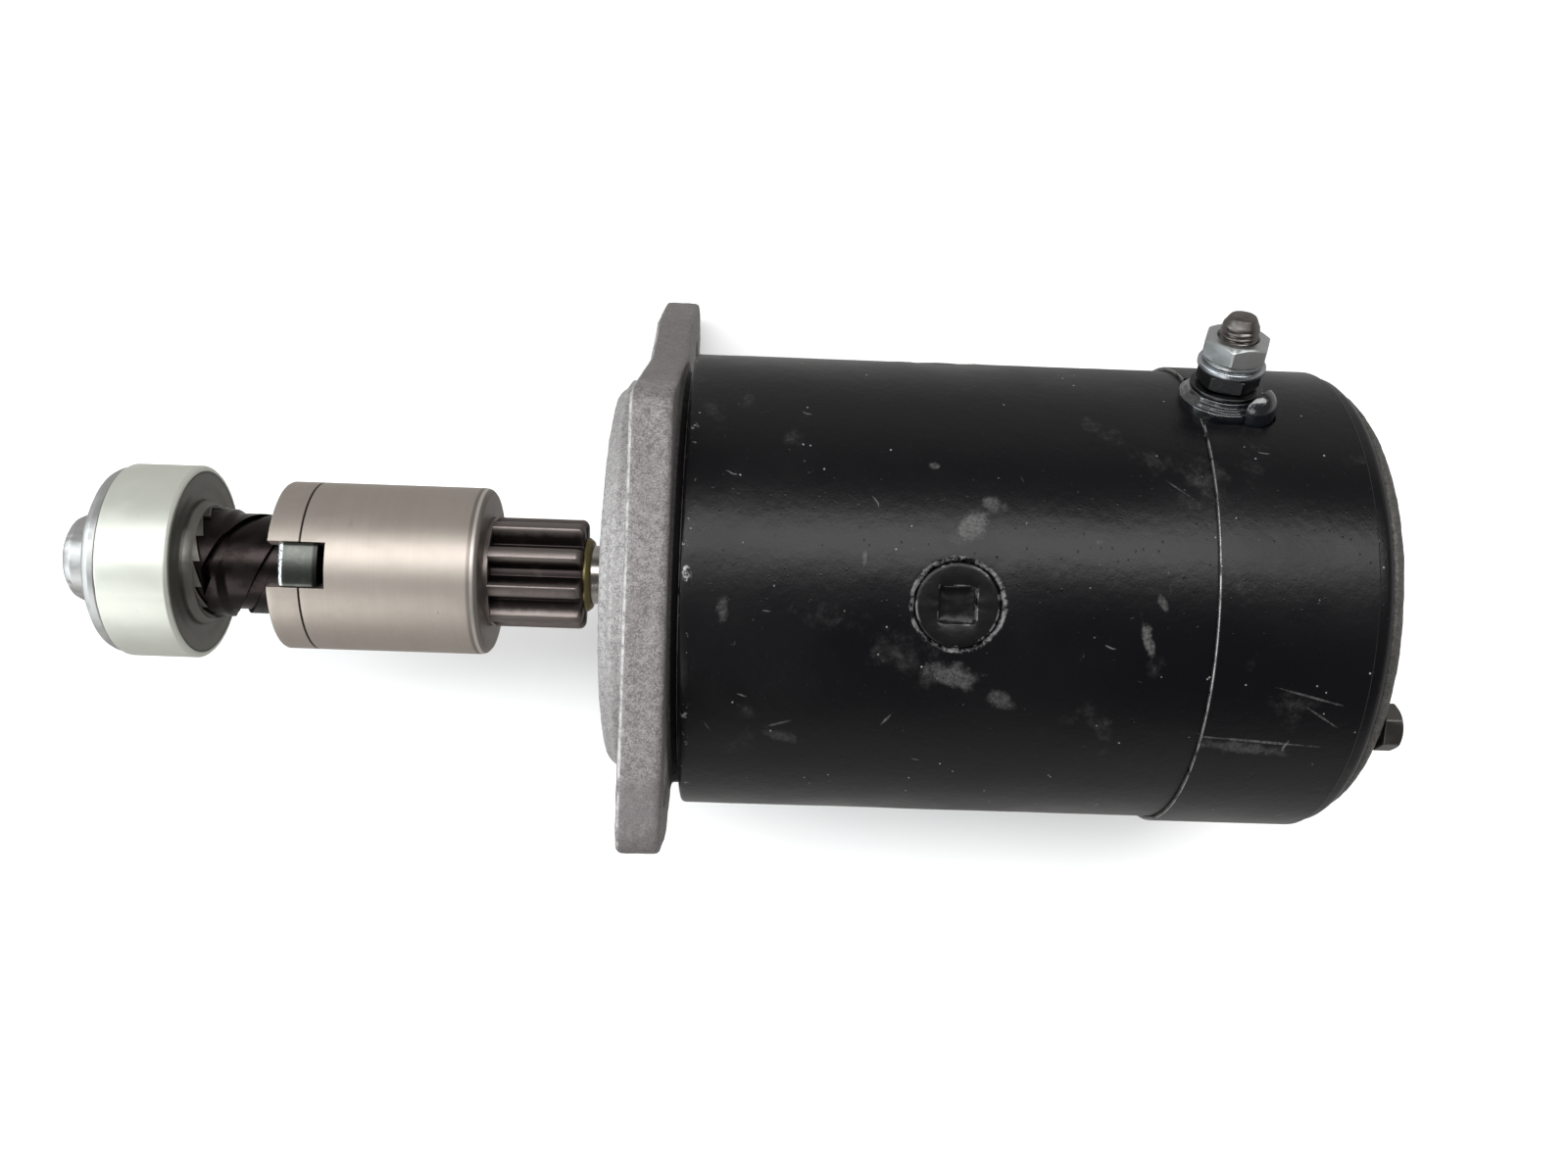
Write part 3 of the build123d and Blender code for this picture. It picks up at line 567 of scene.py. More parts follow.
def painted_screw():
    """Black screw head, rubbed bare here and there along its rim and the edge of its square recess, whose right
    and lower sides are lighter as a painted highlight.
    """
    p = Paint("screw_paint", (0.0018, 0.0017, 0.0022), roughness=0.34)
    u, v, reach = from_pole_screw(p)
    square = u.math("ABSOLUTE").either(v.math("ABSOLUTE"))
    hole = square.near(3.85, 0.34, 0.12) * p.noise(2.6, 3, 0.6, seed=2.0).ramp(0.46, 0.60)
    # Painted highlight: the recess's edge is lighter on its right and lower sides.
    corner = u.ramp(1.0, 3.4).either(v.ramp(-2.0, -3.4))
    rim = reach.near(POLE_HEAD_R - 0.3, 0.32, 0.1) * p.noise(3.1, 3, 0.6, seed=4.0).ramp(0.48, 0.62)
    # worn holds rubbed wear on the rim and the recess's edge, with the painted highlight on the recess's right and
    # lower sides.
    worn = (hole * p.blend(corner, 0.25, 1.0)).either(rim)
    p.tint(worn * 0.7, (0.24, 0.235, 0.235))
    p.raise_by((p.noise(1.2, 3, 0.6, seed=7.0), 0.03), (p.noise(3.0, 2, 0.5, seed=5.0), 0.10))
    feed(p.inputs["Specular IOR Level"], 0.30)
    p.done(worn * 0.6)


def lug_metal():
    """Dull zinc lug with a bright blue-white leading edge and a dark trailing one."""
    p = Paint("lug_zinc", (0.085, 0.09, 0.082), metallic=1.0, roughness=0.30)
    start = span("control_nut")[0]
    edge = p.x.ramp(start + 1.25, start + 0.75) * p.radius_and_angle()[0].ramp(16.2, 16.8)
    ticks = p.noise(0.35, 1, 0.5, p.join(p.x * 0.2, p.y, p.z), seed=3.0)
    p.tint(edge * ticks.ramp(0.36, 0.46), (0.86, 0.90, 0.94))
    p.tint(p.noise(3.0, 4, 0.6).ramp(0.5, 0.7) * 0.5, (0.14, 0.145, 0.13))
    p.tint(p.x.ramp(start + 7.4, start + 8.0), (0.035, 0.036, 0.034))
    p.raise_by((ticks * edge, 0.12), (p.noise(0.6, 3, 0.6, seed=2.0), 0.02))
    p.done()


def plain_metal(name, base, roughness, depth=0.02, dirt=(0.05, 0.045, 0.04)):
    """Bare steel, cloudy with old oil."""
    p = Paint(name, base, metallic=1.0)
    cloud = p.noise(4.8, 4, 0.6).ramp(0.42, 0.75)
    p.tint(cloud * 0.6, dirt)
    p.rough = p.blend(cloud, roughness - 0.06, roughness + 0.18)
    p.raise_by((p.noise(0.8, 3, 0.6, seed=2.0), depth))
    p.done()


def pinion_metal():
    """Hardened steel teeth, brownish on their lands and darkened towards their roots by a painted shade between
    the teeth.
    """
    p = Paint("pinion_steel", (0.19, 0.165, 0.155), metallic=1.0)
    # Painted shade: the teeth darken towards their roots, where shade falls between them.
    root = (p.radius_and_angle()[0] + p.noise(2.5, 3, 0.6) * 1.6).ramp(13.3, 11.3)
    p.tint(root * 0.9, (0.03, 0.024, 0.023))
    cloud = p.noise(4.5, 3, 0.55, seed=2.0).ramp(0.5, 0.75)
    p.tint(cloud * 0.4, (0.12, 0.10, 0.095))
    p.rough = p.blend(cloud, 0.38, 0.50)
    p.raise_by((p.noise(2.2, 2, 0.5, seed=3.0), 0.03))
    p.done()


def moulded(name, base, roughness, depth, size, gloss=0.0):
    """Moulded plastic, rubber or carbon, with a coat where it is glossy."""
    p = Paint(name, base)
    cloud = p.noise(size * 3, 4, 0.6)
    p.tint(cloud.ramp(0.5, 0.8) * 0.3, tuple(c * 3 + 0.01 for c in base))
    p.rough = p.blend(cloud, roughness - 0.1, roughness + 0.2)
    p.raise_by((p.noise(size, 3, 0.6, seed=2.0), depth))
    if gloss:
        feed(p.inputs["Specular IOR Level"], 0.8)
        feed(p.inputs["Coat Weight"], gloss)
        feed(p.inputs["Coat Roughness"], 0.08)
    p.done()


def taped():
    """Varnished cotton tape wound in overlapping turns."""
    p = Paint("coil_tape", (0.30, 0.22, 0.12), roughness=0.55)
    lap = ((p.x + p.y * 0.35) / 9.0).math("FRACT")
    p.tint(lap.ramp(0.9, 1.0), (0.12, 0.08, 0.04))
    p.raise_by((lap, 0.25), (p.noise(0.5, 2, 0.5), 0.05))
    p.done()


black_paint()
painted_screw()
cast_alloy("cast_alloy", (0.265, 0.245, 0.246), (0.105, 0.094, 0.095), 0.24, front=0.5, back=9.2)
cast_alloy("cast_cover", (0.105, 0.103, 0.096), (0.045, 0.043, 0.040), 0.16)
turned_metal(
    "turned_steel", (0.47, 0.42, 0.375), (0.36, 0.31, 0.27), 0.46, depth=0.002, tone=0.15, seam=BARREL_START - 0.03
)
turned_metal("ground_steel", (0.42, 0.395, 0.37), (0.25, 0.23, 0.215), 0.17)
turned_metal("bronze", (0.22, 0.18, 0.085), (0.09, 0.075, 0.035), 0.38)
turned_metal("copper", (0.72, 0.40, 0.26), (0.35, 0.18, 0.12), 0.3)
turned_metal("laminations", (0.24, 0.23, 0.23), (0.1, 0.09, 0.09), 0.42, ring=0.5, depth=0.05)
plated("zinc_plate", (0.60, 0.61, 0.58), (0.74, 0.75, 0.70))
plated("bolt_zinc", (0.11, 0.106, 0.098), (0.17, 0.165, 0.155), 0.42, 0.05)
# Painted shade for the cup's end face: where it starts, how far out it reaches and its colour.
cup_face_shade = (span("drive_cup")[1] - 1.1, outer("drive_cup") - 1.5, (0.085, 0.08, 0.074))
plated(
    "cup_zinc", (0.62, 0.635, 0.575), (0.74, 0.76, 0.70), 0.48, metallic=0.85, shade=cup_face_shade, cloudy=0.14
)
plated("cap_zinc", (0.40, 0.40, 0.395), (0.56, 0.57, 0.55), 0.42, 0.05, 0.9)
plated("crown_zinc", (0.16, 0.155, 0.14), (0.25, 0.245, 0.22), 0.42)
plated("nut_zinc", (0.40, 0.41, 0.405), (0.60, 0.63, 0.63), 0.36, 0.06)
plated("washer_zinc", (0.36, 0.38, 0.40), (0.56, 0.58, 0.60), 0.30, 0.04)
lug_metal()
pinion_metal()
plain_metal("dark_steel", (0.17, 0.155, 0.145), 0.36)
plain_metal("blued_steel", (0.027, 0.022, 0.021), 0.34, dirt=(0.014, 0.012, 0.011))
plain_metal("spring_steel", (0.34, 0.33, 0.32), 0.3)
plain_metal("grease_steel", (0.06, 0.062, 0.066), 0.34, 0.05)
moulded("moulding", (0.0035, 0.004, 0.0055), 0.20, 0.22, 1.6, 0.9)
moulded("rubber", (0.005, 0.0055, 0.007), 0.24, 0.07, 2.4, 0.7)
moulded("carbon", (0.03, 0.03, 0.03), 0.5, 0.02, 0.5)
taped()

BY_NODE = {"band_clamp_screw": "bolt_zinc", "band_clamp_nut": "bolt_zinc"}
for node_name, node in nodes.items():
    node.data.materials.clear()
    node.data.materials.append(MATERIALS[BY_NODE.get(node_name, slot_of[node_name])])


# ---------------------------------------------------------------- shapes that several pieces share
WELD_MM = 0.01


def soften(piece, width, angle=32):
    """Rounds the sharp edges of a piece or a CAD node, without touching its mesh."""
    weld = piece.modifiers.new("weld", "WELD")
    weld.merge_threshold = WELD_MM * MM
    bevel = piece.modifiers.new("bevel", "BEVEL")
    bevel.width = width * MM
    bevel.segments = 2
    bevel.limit_method = "ANGLE"
    bevel.angle_limit = math.radians(angle)
    bevel.harden_normals = False
    bevel.use_clamp_overlap = True
    weighted = piece.modifiers.new("normals", "WEIGHTED_NORMAL")
    weighted.keep_sharp = True


def shell_into(bm, rows, angles, present, shift=None):
    """Thick curved sheet about the shaft. rows are (x, outer radius, inner radius) and angles are
    degrees, all the way round. present(i, j) says what a cell has: 0 nothing, 1 both sides, 2 only
    its inner side."""
    count = len(angles)
    made = {}

    def vertex(i, j, side):
        key = (i, j % count, side)
        if key not in made:
            x, *radii = rows[i]
            angle = math.radians(angles[j % count])
            r = radii[side] + (shift(x, angle) if shift and side == 0 else 0.0)
            made[key] = bm.verts.new((x, *around(r, angle)))
        return made[key]

    def wall(a, b):
        bm.faces.new((vertex(*a, 0), vertex(*b, 0), vertex(*b, 1), vertex(*a, 1)))

    for i in range(len(rows) - 1):
        for j in range(count):
            state = present(i, j)
            if not state:
                continue
            corners = ((i, j), (i + 1, j), (i + 1, j + 1), (i, j + 1))
            if state == 1:
                bm.faces.new([vertex(*c, 0) for c in corners])
            bm.faces.new([vertex(*c, 1) for c in reversed(corners)])
            if i == 0 or not present(i - 1, j):
                wall((i, j), (i, j + 1))
            if i == len(rows) - 2 or not present(i + 1, j):
                wall((i + 1, j), (i + 1, j + 1))
            if not present(i, (j - 1) % count):
                wall((i, j), (i + 1, j))
            if not present(i, (j + 1) % count):
                wall((i, j + 1), (i + 1, j + 1))
    return vertex


def lumps(x, y, z, size, amount, seed=0.0):
    return amount * noise.noise(Vector((x / size + seed, y / size - seed, z / size + 2 * seed)))


def dented(amount, size, seed):
    """Small knocks on a turned rim."""

    def wobble(x, radius, angle):
        y, z = around(radius, angle)
        value = noise.noise(Vector((x / size + seed, y / size, z / size)))
        return -amount * max(0.0, value - 0.35) / 0.65

    return wobble


def nut_into(bm, matrix, low, high, across_flats, rotation, bore=0.0, both=True):
    """Hexagon nut or bolt head along local +Z, its corners turned off at 30 degrees."""
    count = 96
    flat = across_flats / 2
    face_r = flat * 0.96
    outline = []
    for k in range(count):
        angle = TURN * (k + 0.5) / count
        inside = (angle + math.pi / 6) % (math.pi / 3) - math.pi / 6
        outline.append((flat / math.cos(inside), angle + math.radians(rotation)))

    def round_ring(radius, height):
        return add_verts(bm, [(*around(radius, a), height) for _, a in outline], matrix)

    def side_ring(share, lift=0.0, inset=0.0):
        """Round the flats, at a share of the way up from the lower chamfer to the upper one."""
        points = []
        for distance, angle in outline:
            cut = max(0.0, distance - face_r) * math.tan(math.radians(30))
            bottom = low + (cut if both else 0.0) + 0.06
            top = high - cut - 0.06
            height = bottom + (top - bottom) * share + lift
            points.append((*around(distance - inset, angle), height))
        return add_verts(bm, points, matrix)

    sides = ((0, -0.04, 0.1), (0, 0.1), (0.35,), (0.65,), (1, -0.1), (1, 0.04, 0.1))
    below, above = [(0.05, low)], [(0.05, high)]
    if bore:
        below = [(bore, low + 0.5), (bore + 0.45, low)]
        above = [(bore + 0.45, high), (bore, high - 0.5)]
    rings = [round_ring(*r) for r in below + [(face_r - 0.1, low)]]
    rings += [side_ring(*s) for s in sides]
    rings += [round_ring(*r) for r in [(face_r - 0.1, high)] + above]
    loft(bm, rings + rings[:1] if bore else rings, ends=not bore)


def cast_skin(node, voxel, depth, seed):
    """A cast piece: the CAD node's form with rounded corners and a sand-cast skin."""
    copy = bpy.data.objects.new(node + "_casting", nodes[node].data.copy())
    scene.collection.objects.link(copy)
    copy.modifiers.new("weld", "WELD").merge_threshold = WELD_MM * MM
    remesh = copy.modifiers.new("remesh", "REMESH")
    remesh.mode = "VOXEL"
    remesh.voxel_size = voxel * MM
    rounding = copy.modifiers.new("smooth", "SMOOTH")
    rounding.iterations = 3
    rounding.factor = 0.5
    bpy.context.view_layer.update()
    evaluated = copy.evaluated_get(bpy.context.evaluated_depsgraph_get())
    mesh = bpy.data.meshes.new_from_object(evaluated)
    bpy.data.objects.remove(copy)
    low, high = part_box(node)
    places = []
    for vertex in mesh.vertices:
        place = vertex.co / MM
        amount = noise.fractal(place / 3.2 + Vector((seed, 0, 0)), 0.7, 2.0, 3) * depth
        amount += noise.noise(place / 17 + Vector((0, seed, 0))) * depth * 1.3
        moved = vertex.co + vertex.normal * (amount - depth * 0.9) * MM
        places += [min(max(moved[axis], low[axis]), high[axis]) for axis in range(3)]
    mesh.vertices.foreach_set("co", places)
    mesh.update()
    link_piece(node + "_cast", mesh, node)


# ---------------------------------------------------------------- yoke and what is screwed to it
# Round a pole screw's hole: growth beyond the hole's rim, lift above the tube, and squareness.
COUNTERSINK = (
    (2.6, 0.0, 0.45), (1.5, 0.02, 0.2), (0.8, 0.05, 0.0), (0.42, 0.02, 0.0),
    (0.16, -0.12, 0.0), (0.02, -0.35, 0.0), (-0.3, -0.8, 0.0), (-1.4, -2.0, 0.0),
)


def yoke_skin(x, angle):
    """Unevenness of the painted tube in mm."""
    y, z = around(YOKE_R, angle)
    return lumps(x, y, z, 22, 0.10, 3.0) + lumps(x, y, z, 5, 0.035, 8.0) - 0.10


def yoke():
    """Tube with four windows under the cover band and a sunk hole for each pole screw."""
    wall, per_pole, across = 6.0, 48, 16
    windows = (124.0, 144.0)
    left, right = YOKE_X
    step = 90 / per_pole
    angles = [POLE_ANGLES[0] + step * (k - across / 2) for k in range(4 * per_pole)]
    reach = across / 2 * math.radians(step) * YOKE_R
    start, end = POLE_SCREW_X - reach, POLE_SCREW_X + reach

    def spaced(a, b, size):
        n = max(1, round((b - a) / size))
        return [(a + (b - a) * k / n, 0.0) for k in range(n)]

    rows = [(left, -1.0), (left + 0.12, -0.55), (left + 0.45, -0.16), (left + 1.0, 0.0)]
    rows += spaced(left + 2.5, start, 1.8)
    first = len(rows)
    rows += spaced(start, end, (end - start) / across)
    last = len(rows)
    rows += spaced(end, windows[0], 1.8)
    window_first = len(rows)
    rows += spaced(*windows, 2.0)
    window_last = len(rows)
    rows += spaced(windows[1], right - 2.4, 1.8)
    rows += [(right - 2.0, 0.0), (right - 1.3, -0.2), (right - 0.6, -0.7)]
    rows += [(right - 0.15, -1.3), (right, -1.8)]
    rows = [(x, YOKE_R + rise, YOKE_R - wall) for x, rise in rows]

    def present(i, j):
        k = j % per_pole
        if first <= i < last and k < across:
            return 2
        return 0 if window_first <= i < window_last and 1 <= k < across - 1 else 1

    bm = bmesh.new()
    vertex = shell_into(bm, rows, angles, present, yoke_skin)
    for p, pole_angle in enumerate(POLE_ANGLES):
        base = p * per_pole
        loop = [(first + k, base) for k in range(across)]
        loop += [(last, base + k) for k in range(across)]
        loop += [(last - k, base + across) for k in range(across)]
        loop += [(first, base + across - k) for k in range(across)]
        flat = []
        for i, j in loop:
            aside = math.radians(angles[j % len(angles)] - pole_angle)
            aside = (aside + math.pi) % TURN - math.pi
            flat.append((rows[i][0] - POLE_SCREW_X, aside * YOKE_R))
        rings = [[vertex(i, j, 0) for i, j in loop]]
        for growth, lift, squareness in COUNTERSINK:
            radius = POLE_HOLE_R + growth
            ring = []
            for u, v in flat:
                distance = math.hypot(u, v)
                square = radius * distance / max(abs(u), abs(v))
                share = (radius + (square - radius) * squareness) / distance
                u, v = u * share, v * share
                x, angle = POLE_SCREW_X + u, math.radians(pole_angle) + v / YOKE_R
                burr = 0.07 * noise.noise(Vector((u * 0.9, v * 0.9, p * 3.0))) if lift else 0
                ring.append((x, *around(YOKE_R + lift + burr + yoke_skin(x, angle), angle)))
            rings.append(add_verts(bm, ring))
        loft(bm, rings)
    add_object("yoke_tube", bm, "yoke", smooth_angle=50)


def pole_screws():
    """Countersunk heads with a square recess."""
    foot, top, count = 38.5, YOKE_R - 0.5, 64
    # Radius and height of the head's rings, then half side, height and corner cut of the recess's.
    head = (
        (3.95, 46.9), (4.6, 47.4), (POLE_HEAD_R - 0.7, top - 0.95), (POLE_HEAD_R - 0.12, top - 0.5),
        (POLE_HEAD_R - 0.1, top - 0.3), (POLE_HEAD_R - 0.4, top - 0.12),
        (POLE_HEAD_R - 0.9, top - 0.06), (6.7, top - 0.05),
    )
    recess = (
        (4.15, top - 0.05, 0.8), (3.85, top - 0.16, 0.6), (3.74, top - 0.5, 0.5), (3.7, top - 1.7, 0.4),
        (3.55, top - 2.8, 0.6), (3.0, top - 3.1, 0.6), (1.6, top - 3.0, 0.6),
    )
    bm = bmesh.new()
    for p, pole_angle in enumerate(POLE_ANGLES):
        rings = [circle(radius, foot, count) for radius in (0.05, 3.95)]
        for radius, height in head:
            round_points = circle(radius, height, count)
            rings.append([(x, y, h + lumps(x, y, p * 7.0, 2.2, 0.05, 2.0)) for x, y, h in round_points])
        for half, height, cut in recess:
            ring = []
            for x, y, h in circle(1, height, count):
                r = min(half / max(abs(x), abs(y)), half * math.sqrt(2) - cut * 0.41)
                x, y = x * r, y * r
                ring.append((x, y, h + lumps(x, y, p * 7.0 + h, 1.3, 0.12, 5.0)))
            rings.append(ring)
        matrix = radial_matrix(POLE_SCREW_X, pole_angle)
        loft(bm, [add_verts(bm, ring, matrix) for ring in rings], ends=True)
    add_object("pole_screw_heads", bm, "pole_screws", "screw_paint", 40)


# ---------------------------------------------------------------- main terminal, in heights along its axis
def stud_into(bm, matrix):
    """Stud with a square foot, a plain shank, a thread and a battered end."""
    stud_r = TERMINAL["dims"]["r_mm"]
    count, pitch, thread_end = 36, 1.06, 70.4
    rings = [circle(r, h, count) for r, h in ((0.05, 43.2), (3.9, 43.2), (3.9, 56.4))]
    height = 56.5
    while height < thread_end:
        fade = share_of(70.5 - height, 0, 0.5)
        ring = []
        for k in range(count):
            wave = 0.5 - 0.5 * math.cos(TURN * ((height / pitch - k / count) % 1.0))
            r = stud_r - 0.02 - 0.52 * wave**1.4 * fade - 0.12 * (1 - fade)
            ring.append((*around(r, TURN * k / count), height))
        rings.append(ring)
        height += pitch / 8
    for height, radius in (
        (70.6, 3.78), (70.85, 3.70), (71.1, 3.52), (72.15, 2.95),
        (72.45, 2.75), (72.58, 2.5), (72.6, 2.2), (72.6, 0.05),
    ):
        end = circle(radius, height, count)
        rings.append([(x, y, h + min(lumps(x, y, h, 1.6, 0.09, 4.0) - 0.06, 0)) for x, y, h in end])
    corners = ((-5.5, -5.5), (5.5, -5.5), (5.5, 5.5), (-5.5, 5.5))
    for stack in (rings, [[(*corner, h) for corner in corners] for h in (41.6, 43.4)]):
        loft(bm, [add_verts(bm, ring, matrix) for ring in stack], ends=True)


def spring_washer_into(bm, matrix):
    """A flat coil of one turn, open at its ends."""
    count = 60
    rings = []
    for k in range(count + 1):
        turn = k / count
        angle = math.radians(24 + 352 * turn)
        low = 62.32 + 0.10 * (1 - turn)
        high = 63.15 + 0.13 * (1 - turn)
        section = [(4.1, low), (5.95, low), (6.1, low + 0.12)]
        section += [(6.1, high - 0.12), (5.95, high), (4.1, high)]
        rings.append(add_verts(bm, [(*around(r, angle), h) for r, h in section], matrix))
    loft(bm, rings, ends=True)


def terminal():
    bore = 3.99

    def revolved(profile, segments=72, wobble=None):
        return lambda bm, matrix: upright_lathe(bm, profile, matrix, segments=segments, wobble=wobble)

    def nut(*sizes):
        return lambda bm, matrix: nut_into(bm, matrix, *sizes, bore)

    def moulded_wobble(x, radius, angle):
        y, z = around(radius, angle)
        lump = lumps(x, y, z, 2.6, 0.22, 1.0) + lumps(x, y, z, 1.1, 0.10, 6.0) - 0.1
        return share_of(radius, 5, 7) * lump

    insulator = (
        (44.6, 4.0), (44.6, 6.4, 0.3), (50.6, 6.4), (50.8, 9.2, 0.3), (53.9, 9.35, 0.4),
        (54.2, 8.7, 0.3), (54.7, 8.55, 0.3), (55.0, 7.9, 0.25), (55.95, 7.7, 0.35), (55.95, 4.0),
    )
    base_washer = ((56.0, 4.05), (56.0, 7.6, 0.2), (56.9, 7.6, 0.25), (56.9, 4.05))
    flat_washer = ((60.9, 4.2, 0.1), (60.9, 7.1, 0.3), (62.3, 7.1, 0.45), (62.3, 4.2, 0.1))
    matrix = radial_matrix(TERMINAL["pos_m"][0] / MM, angle_about_shaft(TERMINAL["axis"]))
    for node, ending, build, material, smooth_angle in (
        ("stud", "thread", stud_into, "dark_steel", 35),
        ("insulator", "bush", revolved(insulator, 96, moulded_wobble), None, 35),
        ("base_washer", "ring", revolved(base_washer), "grease_steel", 35),
        ("flat_washer", "ring", revolved(flat_washer), "washer_zinc", 35),
        ("spring_washer", "coil", spring_washer_into, "nut_zinc", 35),
        ("base_nut", "hexagon", nut(56.9, 60.9, 11.6, 12), "grease_steel", 24),
        ("nut", "hexagon", nut(63.3, 67.9, 12.7, 39), "nut_zinc", 24),
    ):
        node = "terminal_" + node
        bm = bmesh.new()
        build(bm, matrix)
        add_object(f"{node}_{ending}", bm, node, material, smooth_angle)


def through_bolts():
    bolt_circle_r, first_angle = 42.6, 129.3
    end = span("through_bolts")[1]
    shank = ((6.0, 0.0), (6.0, 2.6), (6.6, 2.95), (end - 4.3, 2.95), (end - 4.3, 0.0))
    bm = bmesh.new()
    for angle in (first_angle, first_angle + 180):
        place = (0, *around(bolt_circle_r, math.radians(angle)))
        matrix = Matrix.Translation(place) @ Matrix.Rotation(math.radians(90), 4, "Y")
        nut_into(bm, matrix, end - 4.4, end - 0.3, 9.2, angle, both=False)
        upright_lathe(bm, shank, matrix, segments=24, closed=False)
    add_object("through_bolt_heads", bm, "through_bolts", "bolt_zinc", 24)


# ---------------------------------------------------------------- the inertia drive
def drive_cup():
    x0, x1 = span("drive_cup")
    r = outer("drive_cup")
    profile = (
        (x0 + 1.2, 20.4), (x0 + 0.15, 20.7, 0.2), (x0, 21.2, 0.2), (x0, r - 0.9, 0.5),
        (x0 + 0.5, r - 0.05, 0.5), (x1 - 0.7, r, 0.6), (x1 - 0.05, r - 0.55, 0.4),
        (x1, r - 1.25, 0.2), (x1 - 0.22, r - 1.38, 0.06), (x1 - 0.26, r - 1.62, 0.06),
        (x1 - 0.06, r - 1.8, 0.1), (x1 - 0.10, 18.4, 2.0), (x1 - 0.45, 16.6, 0.8),
        (x1 - 0.5, 14.65), (x1 - 3.5, 14.65), (x1 - 3.5, 20.4),
    )
    knocks = dented(0.22, 2.4, 3.0)
    lathe("drive_cup_shell", profile, "drive_cup", "cup_zinc", 40, segments=192, wobble=knocks)


def end_cap():
    x0 = span("end_cap")[0]
    profile = (
        (-117.3, 6.95), (-117.3, 20.3), (-118.75, 20.35), (-118.8, 21.75, 0.25), (-120.2, 21.6, 0.7),
        (-121.5, 20.9, 0.8), (-122.4, 19.5, 1.2), (-124.5, 12.8, 2.2), (-125.5, 11.0, 0.8),
        (-126.5, 10.45, 0.7), (-129.5, 10.25, 0.9), (-131.1, 9.5, 0.9), (-132.0, 8.2, 0.5),
        (x0, 6.6, 0.3), (x0, 4.0), (x0 + 0.8, 3.4, 0.3), (x0 + 1.0, 0.0),
        (-127.2, 0.0), (-127.2, 6.95),
    )
    knocks = dented(0.45, 1.7, 9.0)
    lathe("end_cap_dome", profile, "end_cap", "cap_zinc", 40, segments=160, wobble=knocks)


def ratchet_collar():
    """Collar whose free end is a crown of saw teeth."""
    teeth, steps = 14, 8
    tip = span("ratchet_collar")[1]
    root = tip - 1.8
    bore, rim, big = 12.75, 13.35, 14.6
    pitch = TURN / teeth
    columns = []
    for i in range(teeth):
        for k in range(steps + 1):
            angle = pitch * (i - 0.5 + k / steps * 0.985)
            columns.append((angle, root + 0.1 + (tip - root - 0.15) * k / steps))
        columns.append((pitch * (i + 0.5) - 0.001, root + 0.1))

    def section(top):
        return (
            (-107.0, bore), (-107.0, big), (-102.3, big), (-101.9, big - 0.12),
            (root - 0.35, rim + 0.18), (root - 0.1, rim), (max(root - 0.05, top - 0.12), rim),
            (top, rim - 0.12), (top, bore + 0.08), (top - 0.1, bore),
        )

    bm = bmesh.new()
    lines = [[(x, *around(r, angle)) for x, r in section(top)] for angle, top in columns]
    rings = [add_verts(bm, ring) for ring in zip(*lines)]
    loft(bm, rings + rings[:1])
    add_object("ratchet_crown", bm, "ratchet_collar", "crown_zinc", 28)


def screw_sleeve():
    """Sleeve with three coarse left-hand grooves, which fade out at a flare near its left end."""
    x0, x1 = span("screw_sleeve")
    out_r, root_r, flare_r, bore = 11.7, 10.75, 12.6, 6.95
    screw_start, groove_middle_x, starts = -104.0, -96.5, 3
    flare_end, groove_fade = (-95.6, -94.0), (-99.2, -97.6)
    offsets = [-60, -50, -40, -31, -24, -18.5, -15.7, -15, -14.7, -14.5, -14.3, -14, -13.2, -9, -4.5]
    offsets += [0] + [-a for a in reversed(offsets[1:])]

    def radius(x, offset):
        base = flare_r + (out_r - flare_r) * smooth(share_of(x, *flare_end))
        edge = abs(offset)
        level = base
        if edge <= 14.0:
            level = root_r
        elif edge <= 14.5:
            level = root_r + (base - 0.25 - root_r) * (edge - 14.0) / 0.5
        elif edge <= 15.7:
            level = base - 0.25 * (1 - (edge - 14.5) / 1.2) ** 2
        r = base + (level - base) * smooth(share_of(x, *groove_fade))
        return min(r, out_r - 0.6 + (x1 - x)) if x > x1 - 0.6 else r

    rows = [screw_start + 0.5 * k for k in range(math.ceil((x1 - screw_start) / 0.5))] + [x1]
    bm = bmesh.new()
    rings = []
    for x in rows:
        ring = []
        for start in range(starts):
            turned = 90 - 360 * (x - groove_middle_x) / LEAD + 360 / starts * start
            ring += [(x, *around(radius(x, a), math.radians(turned + a))) for a in offsets]
        rings.append(add_verts(bm, ring))
    left = [ring_like(bm, x, r, rings[0]) for x, r in ((x0, bore), (x0, out_r), (screw_start, out_r))]
    loft(bm, left + rings + [ring_like(bm, x1, bore, rings[-1])])
    add_object("screw_sleeve_grooves", bm, "screw_sleeve", smooth_angle=30)


def slotted_shell(name, node, rows, slot_end):
    """Tube with a slot along its top, open at its left end and as long as slot_end says."""
    half, slot_cells, other_cells = 15.3, 8, 112
    angles = [90 - half + 2 * half * k / slot_cells for k in range(slot_cells)]
    angles += [90 + half + (360 - 2 * half) * k / other_cells for k in range(other_cells)]

    def present(i, j):
        return 0 if rows[i][0] < slot_end - 0.01 and j % len(angles) < slot_cells else 1

    bm = bmesh.new()
    shell_into(bm, rows, angles, present)
    soften(add_object(name, bm, node, smooth_angle=30), 0.22, 50)


